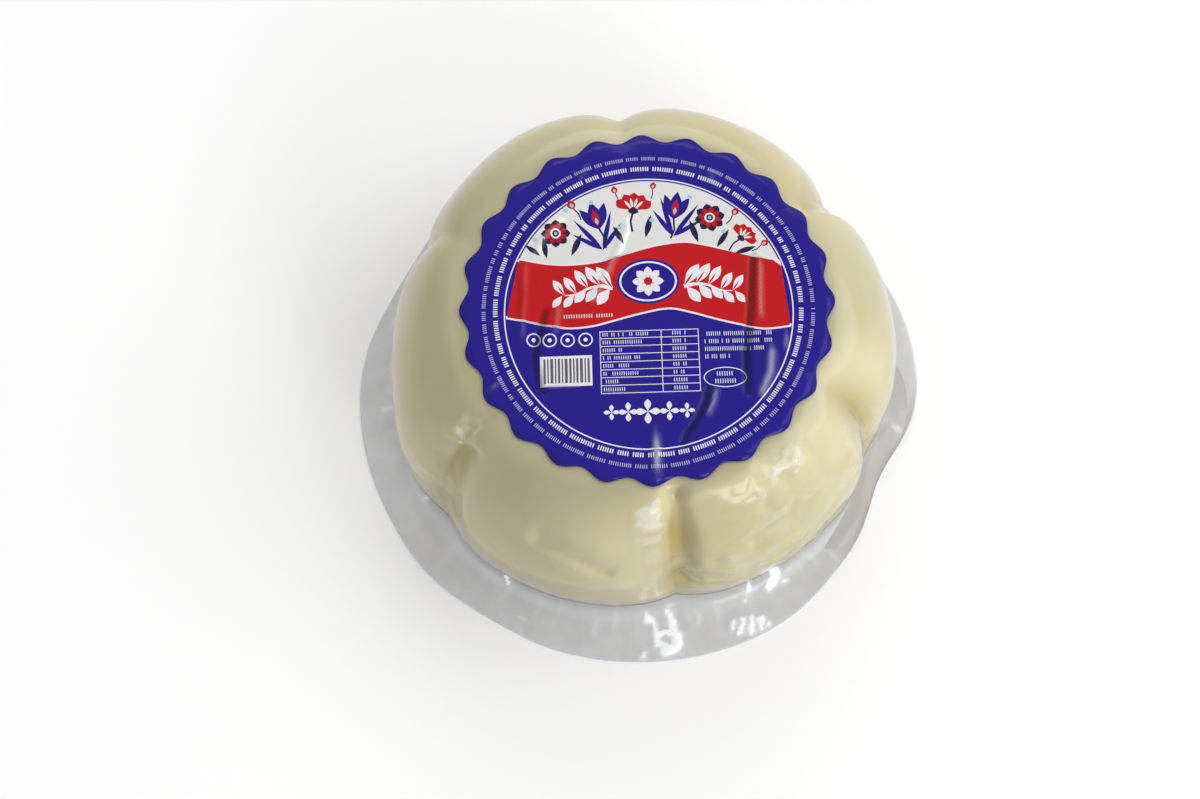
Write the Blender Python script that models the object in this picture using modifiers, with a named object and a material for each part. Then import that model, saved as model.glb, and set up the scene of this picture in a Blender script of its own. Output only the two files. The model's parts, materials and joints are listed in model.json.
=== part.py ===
"""A six-lobed butter block, vacuum-packed in clear film, with a scalloped round label on top.

Three solids, in metres, +Z up. The origin is the centre of the flat underside of the film, which is
what the pack stands on, and -Y is the side that faces the viewer.

butter_block  the block with the film that clings to it
film_flange   the flat film under the block, with its trimmed, slightly curled rim
label         the thin label that lies on the flat top, over the film
"""

import math
from typing import NamedTuple

import bpy

# Driving dimensions
BLOCK_RADIUS = 0.0555  # of the side where it bulges most, between two valleys
BLOCK_HEIGHT = 0.0513  # from the block's underside to the middle of its top
BULGE_HEIGHT = 0.0207  # of the widest place above the block's underside
TOP_RADIUS = 0.0388  # of the nearly flat top, which the label covers
TOP_CROWN = 0.0005  # how much higher the middle of the top is than its rim
BASE_RADIUS = 0.0535  # of the block's foot, where it meets the film
FOOT_ROUND = 0.0016  # radius of the rounding at the foot
FILM_RADIUS = 0.0642  # of the round film, to its trimmed rim
FILM_THICKNESS = 0.0005
LABEL_RADIUS = 0.0390  # to the tip of a scallop
LABEL_THICKNESS = 0.0003
SCALLOP_COUNT = 24
SCALLOP_DEPTH = 0.0017  # from tip to dip
SCALLOP_TURN = math.radians(-1.2)  # angle of the first scallop's tip
LABEL_SHIFT = 0.0018  # the label lies a little to the right of the block's middle
TOUCH_GAP = 0.0003  # between pieces that rest on each other

# The valleys between the lobes: direction in degrees and depth, going round from the right
VALLEYS = (
    (33.0, 0.0036),
    (92.0, 0.0036),
    (153.0, 0.0029),
    (214.5, 0.0036),
    (276.0, 0.0042),
    (334.0, 0.0042),
)
VALLEY_HALF_WIDTH = math.radians(6.5)
VALLEY_START = 0.033  # distance from the middle of the top where a valley begins
VALLEY_RUN = 0.024  # length along the surface over which it reaches its depth
VALLEY_FOOT_SHARE = 0.4  # how much of that depth is left at the foot

# Where the side is fuller or flatter: direction and half width in degrees, and how far it swells
SWELLS = (
    (352.0, 24.0, 0.0010),
    (328.0, 12.0, 0.0010),
    (276.0, 24.0, -0.0016),
    (226.0, 12.0, 0.0006),
    (204.0, 10.0, 0.0012),
    (172.0, 20.0, -0.0015),
    (138.0, 12.0, -0.0010),
)
SWELL_RUN = 0.018  # length below the top's edge over which a swell grows

# Where the film's rim is cut in: direction and half width in degrees, and how far
RIM_DIPS = ((334.0, 13.0, 0.0052), (313.0, 12.0, 0.0018), (152.0, 15.0, 0.0028))
# Where the rim curls up: direction and half width in degrees, and height
RIM_CURLS = ((338.0, 20.0, 0.0026), (20.0, 14.0, 0.0012), (232.0, 12.0, 0.0010), (96.0, 16.0, 0.0014))
CURL_START = 0.0570  # radius inside which the film lies flat

# Facets
BLOCK_STEPS = 120
FILM_STEPS = 96
LABEL_STEPS = 6 * SCALLOP_COUNT
LOBE_COUNT = len(VALLEYS)
FACETS_DRAWN_IN = 0.5  # 0 spaces the block's facets evenly, 1 gathers them all in the valleys
FIRST_VALLEY = math.radians(VALLEYS[0][0])
MERGE_DISTANCE = 0.00001
SHARP_ANGLE = math.radians(40.0)

BUTTER_COLOUR = (0.78, 0.71, 0.47, 1.0)
FILM_COLOUR = (0.62, 0.62, 0.62, 0.5)
LABEL_COLOUR = (0.03, 0.02, 0.25, 1.0)


class OutlinePoint(NamedTuple):
    """A point of the block's turned outline."""

    radius: float
    height: float
    along: float  # distance from the middle of the top, along the surface
    out: float  # the surface's normal there, away from the axis
    up: float  # the surface's normal there, upwards


def smooth_step(start, end, value):
    """0 before start, 1 after end, and a smooth rise between them."""
    share = min(1.0, max(0.0, (value - start) / (end - start)))
    return share * share * (3.0 - 2.0 * share)


def bell(angle, centre, half_width):
    """A bell curve of height 1 round a direction, all in radians."""
    apart = math.remainder(angle - centre, math.tau)
    return math.exp(-((apart / half_width) ** 2))


def sum_of_bells(angle, rows):
    """The sum at an angle of bell curves given as direction and half width in degrees, and height."""
    return sum(high * bell(angle, math.radians(at), math.radians(wide)) for at, wide, high in rows)


def valley_depth(angle, along, height):
    """How deep the valleys are at an angle, along metres from the middle of the top."""
    deepest = max(depth * bell(angle, math.radians(at), VALLEY_HALF_WIDTH) for at, depth in VALLEYS)
    rise = smooth_step(VALLEY_START, VALLEY_START + VALLEY_RUN, along)
    foot = 1.0 - smooth_step(0.0, BULGE_HEIGHT, height)
    return deepest * rise * (1.0 - (1.0 - VALLEY_FOOT_SHARE) * foot)


def swell_height(angle, along):
    """How far the side swells past its common outline at an angle."""
    return sum_of_bells(angle, SWELLS) * smooth_step(TOP_RADIUS, TOP_RADIUS + SWELL_RUN, along)


def crown_height(radius):
    """Height of the top above the block's underside, without its valleys."""
    return BLOCK_HEIGHT - TOP_CROWN * min(1.0, radius / TOP_RADIUS) ** 2


def block_outline():
    """The outline that is turned into the block, from the middle of the top to the middle of the foot."""
    outline = [(TOP_RADIUS * ring, crown_height(TOP_RADIUS * ring)) for ring in (0.0, 0.4, 0.7, 0.86)]
    shoulder_height = crown_height(TOP_RADIUS) - BULGE_HEIGHT
    shoulder_steps = 12
    for step in range(shoulder_steps):
        turn = 0.5 * math.pi * step / shoulder_steps
        radius = TOP_RADIUS + (BLOCK_RADIUS - TOP_RADIUS) * math.sin(turn)
        outline.append((radius, BULGE_HEIGHT + shoulder_height * math.cos(turn)))
    side_steps = 5
    for step in range(side_steps):
        share = step / side_steps
        radius = BLOCK_RADIUS - (BLOCK_RADIUS - BASE_RADIUS) * share**2
        outline.append((radius, BULGE_HEIGHT + (FOOT_ROUND - BULGE_HEIGHT) * share))
    foot_steps = 3
    for step in range(foot_steps + 1):
        turn = 0.5 * math.pi * step / foot_steps
        radius = BASE_RADIUS - FOOT_ROUND * (1.0 - math.cos(turn))
        outline.append((radius, FOOT_ROUND * (1.0 - math.sin(turn))))
    outline += [(0.5 * BASE_RADIUS, 0.0), (0.0, 0.0)]
    return outline


def outline_points(outline):
    """The outline's points with their distance along it and their normal."""
    points = []
    along = 0.0
    for index, (radius, height) in enumerate(outline):
        before = outline[max(index - 1, 0)]
        after = outline[min(index + 1, len(outline) - 1)]
        along += math.dist(before, (radius, height))
        run = math.dist(before, after)
        out, up = (before[1] - after[1]) / run, (after[0] - before[0]) / run
        if height < FOOT_ROUND:
            out, up = radius / BASE_RADIUS, 0.0
        points.append(OutlinePoint(radius, height, along, out, up))
    return points


def turned_mesh(name, outline, steps, collection):
    """The mesh that an outline in the XZ plane makes when it is turned once round Z."""
    corners = [(radius, 0.0, height) for radius, height in outline]
    edges = [(index, index + 1) for index in range(len(outline) - 1)]
    mesh = bpy.data.meshes.new(name + "_outline")
    mesh.from_pydata(corners, edges, [])
    holder = bpy.data.objects.new(name + "_outline", mesh)
    collection.objects.link(holder)
    screw = holder.modifiers.new("turn", "SCREW")
    screw.axis = "Z"
    screw.angle = math.tau
    screw.steps = steps
    screw.render_steps = steps
    screw.use_merge_vertices = True
    screw.merge_threshold = MERGE_DISTANCE
    bpy.context.view_layer.update()
    depsgraph = bpy.context.evaluated_depsgraph_get()
    turned = bpy.data.meshes.new_from_object(holder.evaluated_get(depsgraph))
    turned.name = name
    bpy.data.objects.remove(holder)
    return turned


def plain_material(name, colour, roughness):
    """A Principled material of one colour."""
    material = bpy.data.materials.new(name)
    material.use_nodes = True
    shader = material.node_tree.nodes["Principled BSDF"]
    shader.inputs["Base Color"].default_value = (*colour[:3], 1.0)
    shader.inputs["Alpha"].default_value = colour[3]
    shader.inputs["Roughness"].default_value = roughness
    shader.inputs["Metallic"].default_value = 0.0
    return material


def add_piece(mesh, material, collection):
    """An object that holds the mesh and its material, shaded smooth up to its sharp edges."""
    piece = bpy.data.objects.new(mesh.name, mesh)
    mesh.materials.clear()
    mesh.materials.append(material)
    mesh.shade_smooth()
    mesh.set_sharp_from_angle(angle=SHARP_ANGLE)
    collection.objects.link(piece)
    return piece


def thicken(piece, thickness):
    """Gives a sheet its thickness, below its surface."""
    solid = piece.modifiers.new("thickness", "SOLIDIFY")
    solid.thickness = thickness
    solid.offset = -1.0


def build_block(collection):
    """The lobed block: a turned form whose side is drawn in along six valleys."""
    points = outline_points(block_outline())
    mesh = turned_mesh("butter_block", [(p.radius, p.height) for p in points], BLOCK_STEPS, collection)
    lift = FILM_THICKNESS + TOUCH_GAP
    for vertex in mesh.vertices:
        radius = math.hypot(vertex.co.x, vertex.co.y)
        turned = math.atan2(vertex.co.y, vertex.co.x)
        angle = turned - FACETS_DRAWN_IN * math.sin(LOBE_COUNT * (turned - FIRST_VALLEY)) / LOBE_COUNT
        point = min(points, key=lambda p: math.dist((p.radius, p.height), (radius, vertex.co.z)))
        inward = valley_depth(angle, point.along, point.height) - swell_height(angle, point.along)
        radius = point.radius - inward * point.out
        height = point.height - inward * point.up + lift
        vertex.co = (radius * math.cos(angle), radius * math.sin(angle), height)
    return add_piece(mesh, plain_material("butter", BUTTER_COLOUR, 0.35), collection)


def build_film(collection):
    """The film under the block: flat in the middle, with a rim that is cut in and curls up in places."""
    flat_rings = [CURL_START * share for share in (0.0, 0.35, 0.7, 1.0)]
    rim_rings = [CURL_START + (FILM_RADIUS - CURL_START) * share for share in (0.35, 0.7, 1.0)]
    outline = [(radius, FILM_THICKNESS) for radius in flat_rings + rim_rings]
    mesh = turned_mesh("film_flange", outline, FILM_STEPS, collection)
    for vertex in mesh.vertices:
        share = (math.hypot(vertex.co.x, vertex.co.y) - CURL_START) / (FILM_RADIUS - CURL_START)
        if share < MERGE_DISTANCE:
            continue
        angle = math.atan2(vertex.co.y, vertex.co.x)
        radius = CURL_START + (FILM_RADIUS - sum_of_bells(angle, RIM_DIPS) - CURL_START) * share
        height = FILM_THICKNESS + sum_of_bells(angle, RIM_CURLS) * share**2
        vertex.co = (radius * math.cos(angle), radius * math.sin(angle), height)
    piece = add_piece(mesh, plain_material("clear_film", FILM_COLOUR, 0.15), collection)
    thicken(piece, FILM_THICKNESS)
    return piece


def build_label(collection):
    """The label: a scalloped disc that follows the block's top."""
    dip_radius = LABEL_RADIUS - SCALLOP_DEPTH
    inner_rings = [dip_radius * share for share in (0.0, 0.5, 0.8, 0.97)]
    outline = [(radius, 0.0) for radius in (*inner_rings, LABEL_RADIUS)]
    mesh = turned_mesh("label", outline, LABEL_STEPS, collection)
    lift = FILM_THICKNESS + TOUCH_GAP + TOUCH_GAP + LABEL_THICKNESS
    for vertex in mesh.vertices:
        radius = math.hypot(vertex.co.x, vertex.co.y)
        turned = math.atan2(vertex.co.y, vertex.co.x)
        if radius > dip_radius:
            radius -= SCALLOP_DEPTH * (0.5 - 0.5 * math.cos(SCALLOP_COUNT * turned))
        angle = turned + SCALLOP_TURN
        x = radius * math.cos(angle) + LABEL_SHIFT
        y = radius * math.sin(angle)
        from_middle = math.hypot(x, y)
        valley = valley_depth(math.atan2(y, x), from_middle, BLOCK_HEIGHT)
        vertex.co = (x, y, crown_height(from_middle) - valley + lift)
    piece = add_piece(mesh, plain_material("label_paper", LABEL_COLOUR, 0.25), collection)
    thicken(piece, LABEL_THICKNESS)
    return piece


def main():
    """Clears the scene and builds the three pieces in one collection."""
    for old in list(bpy.data.objects):
        bpy.data.objects.remove(old)
    collection = bpy.data.collections.new("wrapped_butter_block")
    bpy.context.scene.collection.children.link(collection)
    build_film(collection)
    build_block(collection)
    build_label(collection)


main()
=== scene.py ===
"""Looks of a six-lobed butter block, vacuum-packed in clear film, with a scalloped printed label.

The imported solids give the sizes. The butter, the film and the label are modelled here over them: the
butter as a lobed body, the film as one closed skin round the butter and out to its trimmed rim, and the
label as one sheet whose inks are cut into its mesh.
"""

import json
import logging
import math
import random
from dataclasses import dataclass, field
from enum import Enum
from typing import Iterable, Sequence

import bpy
import numpy as np
from mathutils import Matrix, Vector, geometry, noise

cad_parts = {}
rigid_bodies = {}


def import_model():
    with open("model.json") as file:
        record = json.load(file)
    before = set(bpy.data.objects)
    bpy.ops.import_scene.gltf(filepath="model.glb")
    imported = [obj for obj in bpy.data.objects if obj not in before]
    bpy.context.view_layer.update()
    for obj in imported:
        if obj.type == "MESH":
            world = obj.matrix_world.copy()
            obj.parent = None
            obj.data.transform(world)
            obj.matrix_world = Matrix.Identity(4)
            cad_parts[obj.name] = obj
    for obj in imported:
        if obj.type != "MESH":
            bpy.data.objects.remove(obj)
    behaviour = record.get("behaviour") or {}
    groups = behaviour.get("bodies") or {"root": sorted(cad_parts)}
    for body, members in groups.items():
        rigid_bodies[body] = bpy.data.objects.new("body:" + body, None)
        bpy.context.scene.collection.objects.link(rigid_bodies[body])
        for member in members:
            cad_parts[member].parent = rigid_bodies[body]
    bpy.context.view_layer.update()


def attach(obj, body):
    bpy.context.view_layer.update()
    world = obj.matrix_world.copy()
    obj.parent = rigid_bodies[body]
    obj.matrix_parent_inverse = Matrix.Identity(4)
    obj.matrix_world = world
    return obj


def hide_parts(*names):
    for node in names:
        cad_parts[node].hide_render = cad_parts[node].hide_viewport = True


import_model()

MM = 0.001
ROOT_BODY = "root"
LOG = logging.getLogger("butter_pack")

Points = list[tuple[float, float]]
Colour = tuple[float, float, float, float]


class Ink(Enum):
    """The inks of the label, as linear colours."""

    BLUE = (0.012, 0.006, 0.215)
    RED = (0.46, 0.004, 0.007)
    SILVER = (0.68, 0.68, 0.66)
    WHITE = (0.70, 0.69, 0.72)
    NAVY = (0.014, 0.010, 0.045)
    TURQUOISE = (0.25, 0.55, 0.58)
    PALE = (0.40, 0.40, 0.52)
    GREY = (0.10, 0.10, 0.10)


class FoldKind(Enum):
    """How a fold's cross-section looks."""

    RIDGE = "ridge"
    STEP = "step"


class Bloom(Enum):
    """The flowers and leaves of the label's artwork."""

    LEAF = "leaf"
    SPRAY = "spray"
    BUD = "bud"
    TULIP = "tulip"
    FAN = "fan"
    ROSETTE = "rosette"


def smooth_step(start: float, end: float, value: np.ndarray) -> np.ndarray:
    """A smooth rise from 0 at start to 1 at end.

    Args:
        start: Value at which the rise begins.
        end: Value at which it is complete.
        value: Values to map.

    Returns:
        The mapped values, from 0 to 1.
    """
    share = np.clip((value - start) / (end - start), 0.0, 1.0)
    return share * share * (3.0 - 2.0 * share)


def bell(angle: np.ndarray, centre: float, half_width: float, sharpness: float = 2.0) -> np.ndarray:
    """A bell curve of height 1 round a direction.

    Args:
        angle: Angles in radians.
        centre: The bell's direction in degrees.
        half_width: Its half width in degrees.
        sharpness: 2 for a round bell, nearer 1 for a pointed one.

    Returns:
        The curve's value at each angle.
    """
    apart = np.remainder(np.degrees(angle) - centre + 180.0, 360.0) - 180.0
    return np.exp(-(np.abs(apart / half_width) ** sharpness))


def sum_of_bells(angle: np.ndarray, rows: Iterable[tuple[float, float, float]]) -> np.ndarray:
    """The sum of bell curves given as direction and half width in degrees, and height."""
    return sum(height * bell(angle, at, wide) for at, wide, height in rows)


def soft_noise(positions: np.ndarray, size: float, seed: float) -> np.ndarray:
    """Smooth noise from about -1 to 1.

    Args:
        positions: Points, one a row, in metres.
        size: Size of the noise's features in metres.
        seed: Moves the pattern, so that two uses differ.

    Returns:
        One value for each point.
    """
    shift = Vector((seed, 1.7 * seed, -0.6 * seed))
    return np.array([noise.noise(Vector(point) / size + shift) for point in positions])


# How far inside a facet the rise is complete, and a factor that sets the facets' tones apart.
FACET_EDGE = 0.55
FACET_TONES = 57.0


def facets(positions: np.ndarray, size: float, seed: float) -> tuple[np.ndarray, np.ndarray]:
    """Crumpled facets.

    Args:
        positions: Points, one a row, in metres.
        size: Size of the facets in metres.
        seed: Moves the pattern.

    Returns:
        For each point its rise, 0 along the creases and up to 1 inside a facet, and its facet's own
        random tone from 0 to 1.
    """
    shift = Vector((seed, 1.3 * seed, -0.8 * seed))
    rise, tone = np.empty(len(positions)), np.empty(len(positions))
    for index, point in enumerate(positions):
        distances, middles = noise.voronoi(Vector(point) / size + shift)
        rise[index] = distances[1] - distances[0]
        tone[index] = noise.cell(FACET_TONES * middles[0])
    return np.clip(rise / FACET_EDGE, 0.0, 1.0), np.remainder(tone, 1.0)


def grid_places(radius: np.ndarray, angle: np.ndarray, height: np.ndarray) -> np.ndarray:
    """The places of a turned grid, one a row.

    Args:
        radius: Radius at each level and column.
        angle: Direction there in radians.
        height: Height there.

    Returns:
        The places.
    """
    x, y = radius * np.cos(angle), radius * np.sin(angle)
    return np.column_stack((x.ravel(), y.ravel(), height.ravel()))


@dataclass(frozen=True)
class Fold:
    """A fold or dent line in a sheet, along a few points in millimetres of the sheet's own plane."""

    points: tuple[tuple[float, float], ...]
    height: float
    width: float
    kind: FoldKind = FoldKind.RIDGE
    fade: float = 3.0
    reach: float = 4.0

    def lift(self, x: np.ndarray, y: np.ndarray) -> np.ndarray:
        """How far the fold lifts the sheet.

        Args:
            x: First coordinates in millimetres.
            y: Second coordinates in millimetres.

        Returns:
            The lift in metres at each place.
        """
        nearest = np.full(x.shape, np.inf)
        side = np.zeros(x.shape)
        along = np.zeros(x.shape)
        total = 0.0
        for (ax, ay), (bx, by) in zip(self.points, self.points[1:]):
            run = math.hypot(bx - ax, by - ay)
            ux, uy = (bx - ax) / run, (by - ay) / run
            share = np.clip((x - ax) * ux + (y - ay) * uy, 0.0, run)
            distance = np.hypot(x - ax - share * ux, y - ay - share * uy)
            closer = distance < nearest
            across = (x - ax) * uy - (y - ay) * ux
            nearest = np.where(closer, distance, nearest)
            side = np.where(closer, np.sign(across), side)
            along = np.where(closer, total + share, along)
            total += run
        fade = min(self.fade, 0.5 * total)
        ends = smooth_step(0.0, fade, along) * smooth_step(0.0, fade, total - along)
        if self.kind is FoldKind.RIDGE:
            shape = np.exp(-((nearest / self.width) ** 2))
        else:
            rise = 0.5 * (1.0 + np.tanh(side * nearest / self.width))
            shape = rise * np.exp(-((nearest / (self.reach * self.width)) ** 2))
        return self.height * MM * shape * ends


def lift_of(folds: Iterable[Fold], x: np.ndarray, y: np.ndarray) -> np.ndarray:
    """The lift of several folds together, in metres."""
    return sum(fold.lift(x, y) for fold in folds)


# Millimetres to a degree round the side, where it is laid flat.
SIDE_STRETCH = 0.87


def side_fold(
    height: float, width: float, *points: tuple[float, float], kind: FoldKind = FoldKind.RIDGE
) -> Fold:
    """A fold on the block's side.

    Args:
        height: How far it lifts the surface, in millimetres.
        width: Half its width in millimetres.
        points: Directions in degrees, and distances along the surface from the top's middle in millimetres.
        kind: The cross-section.

    Returns:
        The fold in the side's own plane.
    """
    return Fold(tuple((SIDE_STRETCH * degrees, along) for degrees, along in points), height, width, kind)


def side_lift(folds: Iterable[Fold], angle: np.ndarray, along: np.ndarray) -> np.ndarray:
    """The lift of folds on the side at directions in radians and distances in metres."""
    turned = np.remainder(np.degrees(angle), 360.0)
    return lift_of(folds, SIDE_STRETCH * turned, along / MM)


@dataclass(frozen=True)
class Outline:
    """Points of a turned outline: radius and height, distance along it, and its normal."""

    radius: np.ndarray
    height: np.ndarray
    along: np.ndarray
    out: np.ndarray
    up: np.ndarray

    def kept(self, chosen: np.ndarray) -> "Outline":
        """The outline with only the chosen points."""
        rows = (self.radius, self.height, self.along, self.out, self.up)
        return Outline(*(row[chosen] for row in rows))


@dataclass(frozen=True)
class SlackPatch:
    """A part of the side where the film has slack.

    It has a direction and a half width in degrees, and sets in over a run along the surface in millimetres.
    """

    amount: float
    centre: float
    half_width: float
    start: float
    full: float
    sharpness: float = 2.0

    def slack(self, angle: np.ndarray, along: np.ndarray) -> np.ndarray:
        """How slack the film is, at directions in radians and distances in metres."""
        wide = bell(angle, self.centre, self.half_width, self.sharpness)
        return self.amount * wide * smooth_step(self.start * MM, self.full * MM, along)


@dataclass(frozen=True)
class BlockForm:
    """The lobed block's form, from the same sizes as the solid."""

    block_radius: float = 55.5 * MM
    block_height: float = 51.3 * MM
    bulge_height: float = 20.7 * MM
    top_radius: float = 38.8 * MM
    top_crown: float = 0.5 * MM
    base_radius: float = 53.5 * MM
    foot_round: float = 1.6 * MM
    lift: float = 0.8 * MM
    # Direction in degrees and depth in millimetres.
    valleys: tuple[tuple[float, float], ...] = (
        (33.0, 3.6),
        (92.0, 3.6),
        (153.0, 2.9),
        (214.5, 3.6),
        (276.0, 4.2),
        (334.0, 4.2),
    )
    valley_half_width: float = 6.5
    valley_sharpness: float = 1.2
    valley_start: float = 33.0 * MM
    valley_run: float = 24.0 * MM
    valley_foot_share: float = 0.4
    # Direction and half width in degrees, and height.
    swells: tuple[tuple[float, float, float], ...] = (
        (352.0, 24.0, 1.0 * MM),
        (328.0, 12.0, 1.0 * MM),
        (276.0, 24.0, -1.6 * MM),
        (226.0, 12.0, 0.6 * MM),
        (204.0, 10.0, 1.2 * MM),
        (172.0, 20.0, -1.5 * MM),
        (138.0, 12.0, -1.0 * MM),
    )
    swell_run: float = 18.0 * MM
    slack_patches: tuple[SlackPatch, ...] = (
        SlackPatch(1.0, 305.0, 19.0, 40.0, 45.0, 4.0),
        SlackPatch(0.8, 278.0, 8.0, 60.0, 70.0),
        SlackPatch(0.6, 335.0, 9.0, 48.0, 60.0),
        SlackPatch(0.6, 214.0, 9.0, 42.0, 52.0),
        SlackPatch(0.5, 153.0, 7.0, 46.0, 60.0),
        SlackPatch(0.5, 33.0, 7.0, 46.0, 60.0),
        SlackPatch(0.5, 92.0, 9.0, 50.0, 66.0),
    )
    # The slack outside the patches, and the run along the surface in which it sets in.
    least_slack: float = 0.16
    least_slack_start: float = 44.0 * MM
    least_slack_full: float = 64.0 * MM
    # The crumple's height, the level that it rises and falls from, and its share, size and seed of facets.
    crumple_height: float = 0.55 * MM
    crumple_middle: float = 0.6
    crumple_facets: tuple[tuple[float, float, float], ...] = (
        (0.84, 9.5 * MM, 4.0),
        (0.16, 4.0 * MM, 9.0),
    )
    crumple_bend: float = 1.2 * MM
    crumple_bend_size: float = 7.0 * MM
    crumple_bend_seed: float = 21.0
    tight: float = 0.05
    top_spacing: float = 0.6

    def valley_depth(self, angle: np.ndarray, along: np.ndarray, height: np.ndarray) -> np.ndarray:
        """How deep the valleys are.

        Args:
            angle: Directions in radians.
            along: Distances from the middle of the top, along the surface.
            height: Heights above the block's underside.

        Returns:
            The depth in metres at each place.
        """
        bells = [
            depth * MM * bell(angle, at, self.valley_half_width, self.valley_sharpness)
            for at, depth in self.valleys
        ]
        rise = smooth_step(self.valley_start, self.valley_start + self.valley_run, along)
        foot = 1.0 - smooth_step(0.0, self.bulge_height, height)
        return np.max(bells, axis=0) * rise * (1.0 - (1.0 - self.valley_foot_share) * foot)

    def swell_height(self, angle: np.ndarray, along: np.ndarray) -> np.ndarray:
        """How far the side swells past its common outline."""
        grown = smooth_step(self.top_radius, self.top_radius + self.swell_run, along)
        return sum_of_bells(angle, self.swells) * grown

    def crown_height(self, radius: np.ndarray) -> np.ndarray:
        """Height of the top above the block's underside, without its valleys."""
        return self.block_height - self.top_crown * np.minimum(1.0, radius / self.top_radius) ** 2

    def outline(self, top: int, shoulder: int, side: int, foot: int) -> Outline:
        """The block's turned outline, from the middle of the top to the edge of the underside.

        Args:
            top: Points on the top.
            shoulder: Points on the round shoulder.
            side: Points on the side below the bulge.
            foot: Points on the rounding at the foot.

        Returns:
            The outline.
        """
        flat = self.top_radius * np.linspace(0.0, 1.0, top, endpoint=False) ** self.top_spacing
        turn = 0.5 * math.pi * np.linspace(0.0, 1.0, shoulder, endpoint=False)
        rim = self.block_height - self.top_crown
        share = np.linspace(0.0, 1.0, side, endpoint=False)
        bend = 0.5 * math.pi * np.linspace(0.0, 1.0, foot)
        radius = np.concatenate((
            flat,
            self.top_radius + (self.block_radius - self.top_radius) * np.sin(turn),
            self.block_radius - (self.block_radius - self.base_radius) * share**2,
            self.base_radius - self.foot_round * (1.0 - np.cos(bend)),
        ))
        height = np.concatenate((
            self.crown_height(flat),
            self.bulge_height + (rim - self.bulge_height) * np.cos(turn),
            self.bulge_height + (self.foot_round - self.bulge_height) * share,
            self.foot_round * (1.0 - np.sin(bend)),
        ))
        along = np.concatenate(([0.0], np.cumsum(np.hypot(np.diff(radius), np.diff(height)))))
        step_out, step_up = np.gradient(radius), np.gradient(height)
        run = np.hypot(step_out, step_up)
        return Outline(radius, height, along, -step_up / run, step_out / run)

    def slack(self, angle: np.ndarray, along: np.ndarray) -> np.ndarray:
        """Where the film has slack and lies crumpled.

        Args:
            angle: Directions in radians.
            along: Distances from the middle of the top, along the surface.

        Returns:
            The slack at each place, from 0 to 1.
        """
        patches = [patch.slack(angle, along) for patch in self.slack_patches]
        least = smooth_step(self.least_slack_start, self.least_slack_full, along)
        return np.maximum.reduce([*patches, self.least_slack * least + 0.0 * angle])

    def crumple(
        self, radius: np.ndarray, angle: np.ndarray, height: np.ndarray, along: np.ndarray
    ) -> np.ndarray:
        """How far the crumpled film and the butter under it rise, in metres.

        Args:
            radius: Radius at each level and column.
            angle: Direction there.
            height: Height there.
            along: Distance along the surface there.

        Returns:
            The rise.
        """
        slack = self.slack(angle, along)
        places = grid_places(radius, angle, height)
        rise = np.zeros(len(places))
        loose = slack.ravel() > self.tight
        bend = soft_noise(places[loose], self.crumple_bend_size, self.crumple_bend_seed)
        bent = places[loose] + self.crumple_bend * bend[:, None]
        rise[loose] = sum(share * facets(bent, size, seed)[0] for share, size, seed in self.crumple_facets)
        return self.crumple_height * slack * (rise.reshape(slack.shape) - self.crumple_middle)

    def surface(self, outline: Outline, angle: np.ndarray, raised: float) -> tuple[np.ndarray, np.ndarray]:
        """The lobed surface as a grid of places.

        Args:
            outline: The turned outline.
            angle: Directions in radians.
            raised: How far the grid lies outside the solid, in metres; less than 0 is inside.

        Returns:
            Radius and height, one row for each outline point and one column for each direction.
        """
        radius = outline.radius[:, None] + 0.0 * angle
        height = outline.height[:, None] + 0.0 * angle
        along = outline.along[:, None] + 0.0 * angle
        turned = angle + 0.0 * along
        inward = self.valley_depth(turned, along, height) - self.swell_height(turned, along)
        inward = inward - side_lift(BUTTER_FOLDS, turned, along) - raised
        inward = inward - self.crumple(radius, turned, height, along)
        at_foot = height < self.foot_round
        out = np.where(at_foot, radius / self.base_radius, outline.out[:, None])
        up = np.where(at_foot, 0.0, outline.up[:, None])
        return radius - inward * out, height - inward * up + self.lift


BUTTER_FOLDS = (
    side_fold(-1.45, 2.3, (277.4, 38.0), (278.4, 50.0), (278.8, 62.0), (278.4, 84.0)),
    side_fold(0.50, 2.6, (270.6, 42.0), (271.0, 56.0), (271.4, 80.0)),
    side_fold(-1.60, 3.4, (218.6, 45.0), (219.2, 58.0), (219.6, 78.0)),
    side_fold(
        0.65, 1.0, (207.0, 49.6), (211.6, 48.6), (216.0, 47.6), (219.6, 44.0), kind=FoldKind.STEP
    ),
    side_fold(0.45, 1.3, (210.6, 41.0), (210.8, 46.6)),
    side_fold(
        -0.85, 1.2, (240.0, 58.6), (247.0, 59.6), (252.0, 61.4), (257.0, 65.0), (262.0, 66.6),
        kind=FoldKind.STEP,
    ),
    side_fold(-0.50, 4.2, (283.6, 42.0), (284.6, 56.0), (284.6, 80.0)),
    side_fold(-0.45, 1.6, (284.6, 64.0), (286.6, 71.5)),
    side_fold(-0.55, 2.6, (293.0, 57.0), (298.5, 65.0)),
    side_fold(-0.45, 1.2, (299.0, 49.0), (301.8, 54.0)),
    side_fold(-0.50, 1.0, (298.5, 44.6), (303.0, 46.4), (309.0, 50.2), kind=FoldKind.STEP),
    side_fold(0.50, 2.4, (316.0, 44.5), (309.0, 46.0), (303.0, 45.0)),
    side_fold(0.40, 2.2, (326.0, 54.0), (328.0, 66.0)),
    side_fold(-1.15, 2.2, (30.2, 40.0), (29.6, 50.0), (29.4, 60.0), (30.0, 80.0)),
)

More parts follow.
